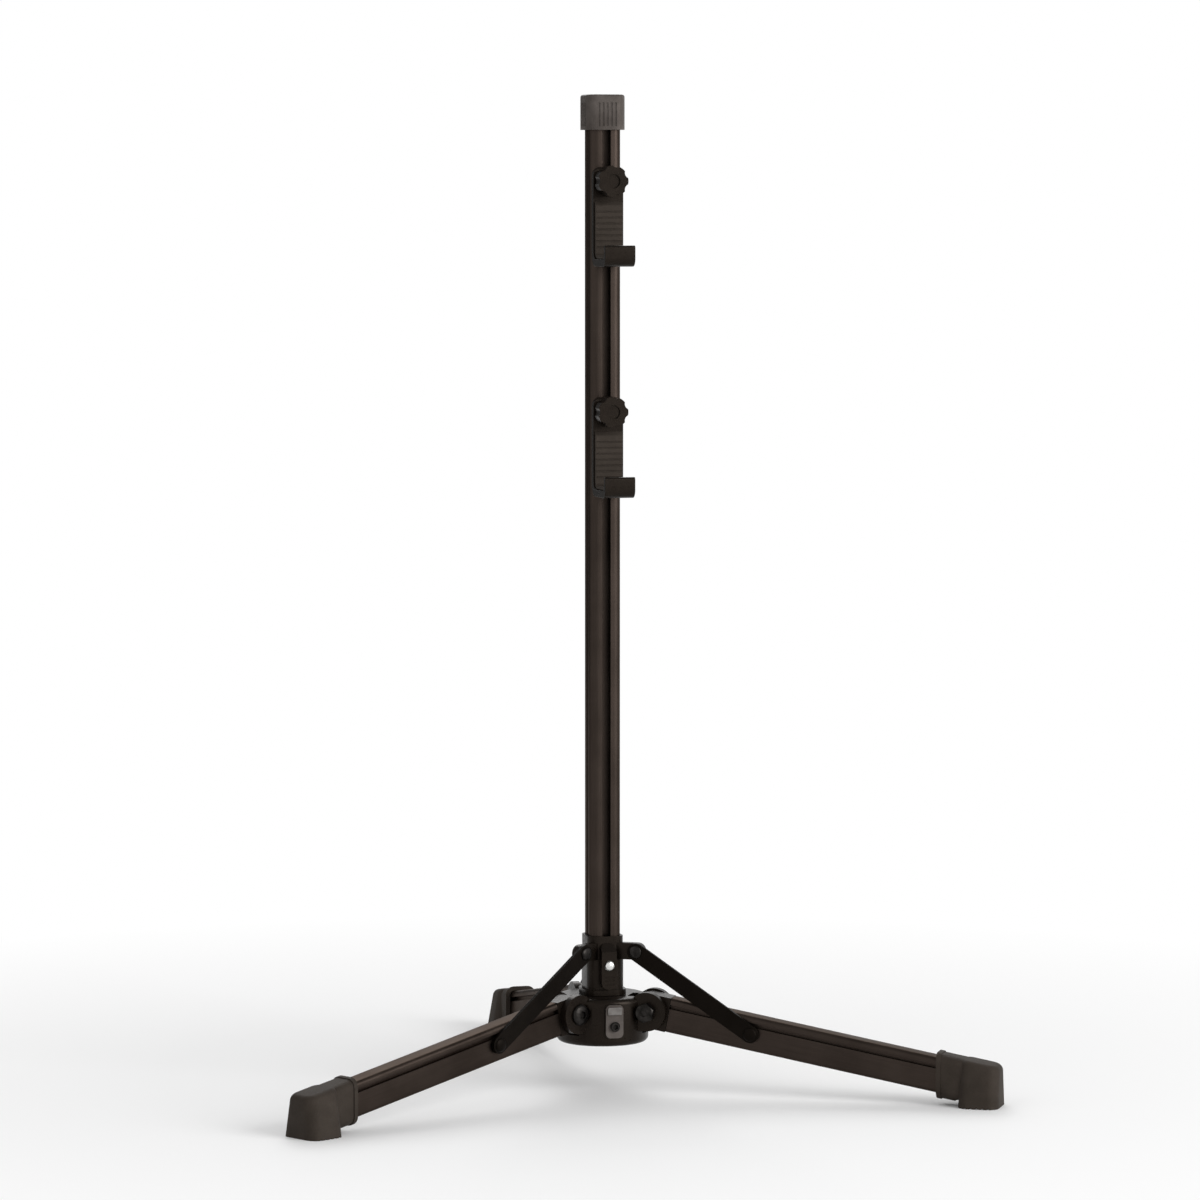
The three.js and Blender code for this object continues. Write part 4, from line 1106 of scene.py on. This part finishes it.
knob = {
    "back": 18.35, "boss": 2, "bossRadius": 6, "length": 10.5, "radius": 11,
    "lobes": 7, "scallop": 4.2, "scallopOut": 13.9, "recess": 5, "recessDepth": 1.5,
    "bore": 2.8, "boreEnd": 5, "edge": 1.0,
}


def makeKnob(name, bottom):
    size = knob
    low = size["back"] + size["boss"]
    high = low + size["length"]
    scallops = []
    for step in range(size["lobes"]):
        place = turned((step + 0.5) * 360 / size["lobes"], "Z") @ moved(size["scallopOut"], 0, 0)
        scallops.append(placed(rod(size["scallop"], low - 2, high + 2, 40), place))
    grip = cut(rod(size["radius"], low, high, 84), loose(scallops))
    grip = joined(grip, rod(size["bossRadius"], size["back"], low + 2, 48))
    bore = rod(size["bore"], size["back"] - 3, high - size["boreEnd"], 32)
    grip = cut(grip, bore, rod(size["recess"], high - size["recessDepth"], high + 3, 48))
    atFront(grip, bottom + hook["studUp"])
    finishPiece(
        "clampKnob." + name, grip, name + "_knob", [name + "_clamp_knob"], nylonFinish,
        size["edge"], 3,
    )


for hookName, hookBottom in hook["bottoms"].items():
    makeHook(hookName, hookBottom)
    makeLiner(hookName, hookBottom)
    makeKnob(hookName, hookBottom)
    print("hook made:", hookName)

# the small solids that keep their own shape

keptSolids = {
    "hub_bottom_cover": nylonFinish, "hub_set_screw": oxideFinish, "button_retainer": oxideFinish,
}
for number in (1, 2, 3):
    keptSolids["hub_cover_screw_%d" % number] = oxideFinish
for hookName in hook["bottoms"]:
    keptSolids[hookName + "_clamp_washer"] = oxideFinish
    keptSolids[hookName + "_clamp_stud"] = zincFinish
    keptSolids[hookName + "_slot_nut"] = oxideFinish
for node, finish in keptSolids.items():
    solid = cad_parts[node]
    solid.data.materials.clear()
    solid.data.materials.append(finish)
print("kept solids finished:", len(keptSolids))

# floor, light and camera

studio = {
    "floorRadius": 2.5, "floorColour": (0.90, 0.90, 0.90), "floorRoughness": 0.7, "fade": (0.30, 0.85),
    "ambient": 0.52, "seen": 1.0, "ceilingFrom": (0.1, 0.8), "ceiling": (0.95, 0.5),
    "flagBehind": (0.3, 0.8), "flagLeft": (0.1, -0.15), "flagged": 0.12, "lampAim": (0, 0, 0.35),
}
lamps = {
    "keyPanel": {"place": (2.5, -3.0, 1.7), "size": 2.6, "power": 125},
    "fillPanel": {"place": (-3.4, -1.6, 2.6), "size": 3.0, "power": 14},
    "backPanel": {"place": (0.6, 3.4, 3.0), "size": 2.6, "power": 60},
}


def makeFloor():
    shape = bmesh.new()
    bmesh.ops.create_circle(shape, cap_ends=True, segments=96, radius=studio["floorRadius"])
    mesh = meshOf("studioFloor", shape)
    floor = inScene("studioFloor", mesh)
    finish, tree, shader = newFinish("paleFloor", studio["floorColour"], studio["floorRoughness"])
    length = tree.nodes.new("ShaderNodeVectorMath")
    length.operation = "LENGTH"
    tree.links.new(tree.nodes.new("ShaderNodeTexCoord").outputs["Object"], length.inputs[0])
    fade = spread(tree, length.outputs["Value"], *studio["fade"], 0, 1)
    path = tree.nodes.new("ShaderNodeLightPath")
    seen = product(tree, fade, path.outputs["Is Camera Ray"])
    glow = tree.nodes.new("ShaderNodeEmission")
    output = [node for node in tree.nodes if node.type == "OUTPUT_MATERIAL"][0]
    blend = mixedShader(tree, seen, shader.outputs["BSDF"], glow.outputs["Emission"])
    tree.links.new(blend, output.inputs["Surface"])
    mesh.materials.append(finish)


def makeLamp(name, values):
    lamp = bpy.data.lights.new(name, "AREA")
    lamp.shape = "SQUARE"
    lamp.size = values["size"]
    lamp.energy = values["power"]
    holder = inScene(name, lamp)
    holder.location = values["place"]
    holder.visible_camera = False
    beam = Vector(studio["lampAim"]) - Vector(values["place"])
    holder.rotation_euler = beam.to_track_quat("-Z", "Y").to_euler()


def backdrop(tree, strength):
    node = tree.nodes.new("ShaderNodeBackground")
    node.inputs["Color"].default_value = (1, 1, 1, 1)
    node.inputs["Strength"].default_value = strength
    return node


def makeSky():
    world = bpy.data.worlds.new("softRoom")
    scene.world = world
    world.use_nodes = True
    tree = world.node_tree
    tree.nodes.clear()
    output = tree.nodes.new("ShaderNodeOutputWorld")
    light = backdrop(tree, studio["ambient"])
    # what glossy surfaces show: white sides under a dim ceiling
    mirrored = backdrop(tree, 1.0)
    seen = backdrop(tree, studio["seen"])
    towards = tree.nodes.new("ShaderNodeSeparateXYZ")
    direction = tree.nodes.new("ShaderNodeTexCoord").outputs["Generated"]
    tree.links.new(direction, towards.inputs["Vector"])
    ceiling = spread(tree, towards.outputs["Z"], *studio["ceilingFrom"], *studio["ceiling"])
    # a dark flag stands behind the object on its left, and keeps the left faces dark
    behind = spread(tree, towards.outputs["Y"], *studio["flagBehind"], 0, 1)
    flag = product(tree, behind, spread(tree, towards.outputs["X"], *studio["flagLeft"], 0, 1))
    share = spread(tree, flag, 0, 1, 1, studio["flagged"])
    tree.links.new(product(tree, ceiling, share), mirrored.inputs["Strength"])
    path = tree.nodes.new("ShaderNodeLightPath")
    room = mixedShader(
        tree, path.outputs["Is Glossy Ray"], light.outputs["Background"], mirrored.outputs["Background"],
    )
    blend = mixedShader(tree, path.outputs["Is Camera Ray"], room, seen.outputs["Background"])
    tree.links.new(blend, output.inputs["Surface"])


makeFloor()
makeSky()
for lampName, lampValues in lamps.items():
    makeLamp(lampName, lampValues)

viewpoint = {"place": (-0.96, -3.745, 0.65), "aim": (0.0, -0.06, 0.352), "lens": 160, "sensor": 36}
camera = bpy.data.cameras.new("viewpoint")
camera.lens = viewpoint["lens"]
camera.sensor_width = viewpoint["sensor"]
camera.sensor_height = viewpoint["sensor"]
cameraHolder = inScene("viewpoint", camera)
cameraHolder.location = viewpoint["place"]
sight = Vector(viewpoint["aim"]) - Vector(viewpoint["place"])
cameraHolder.rotation_euler = sight.to_track_quat("-Z", "Y").to_euler()
scene.camera = cameraHolder
print("floor, light and camera set")
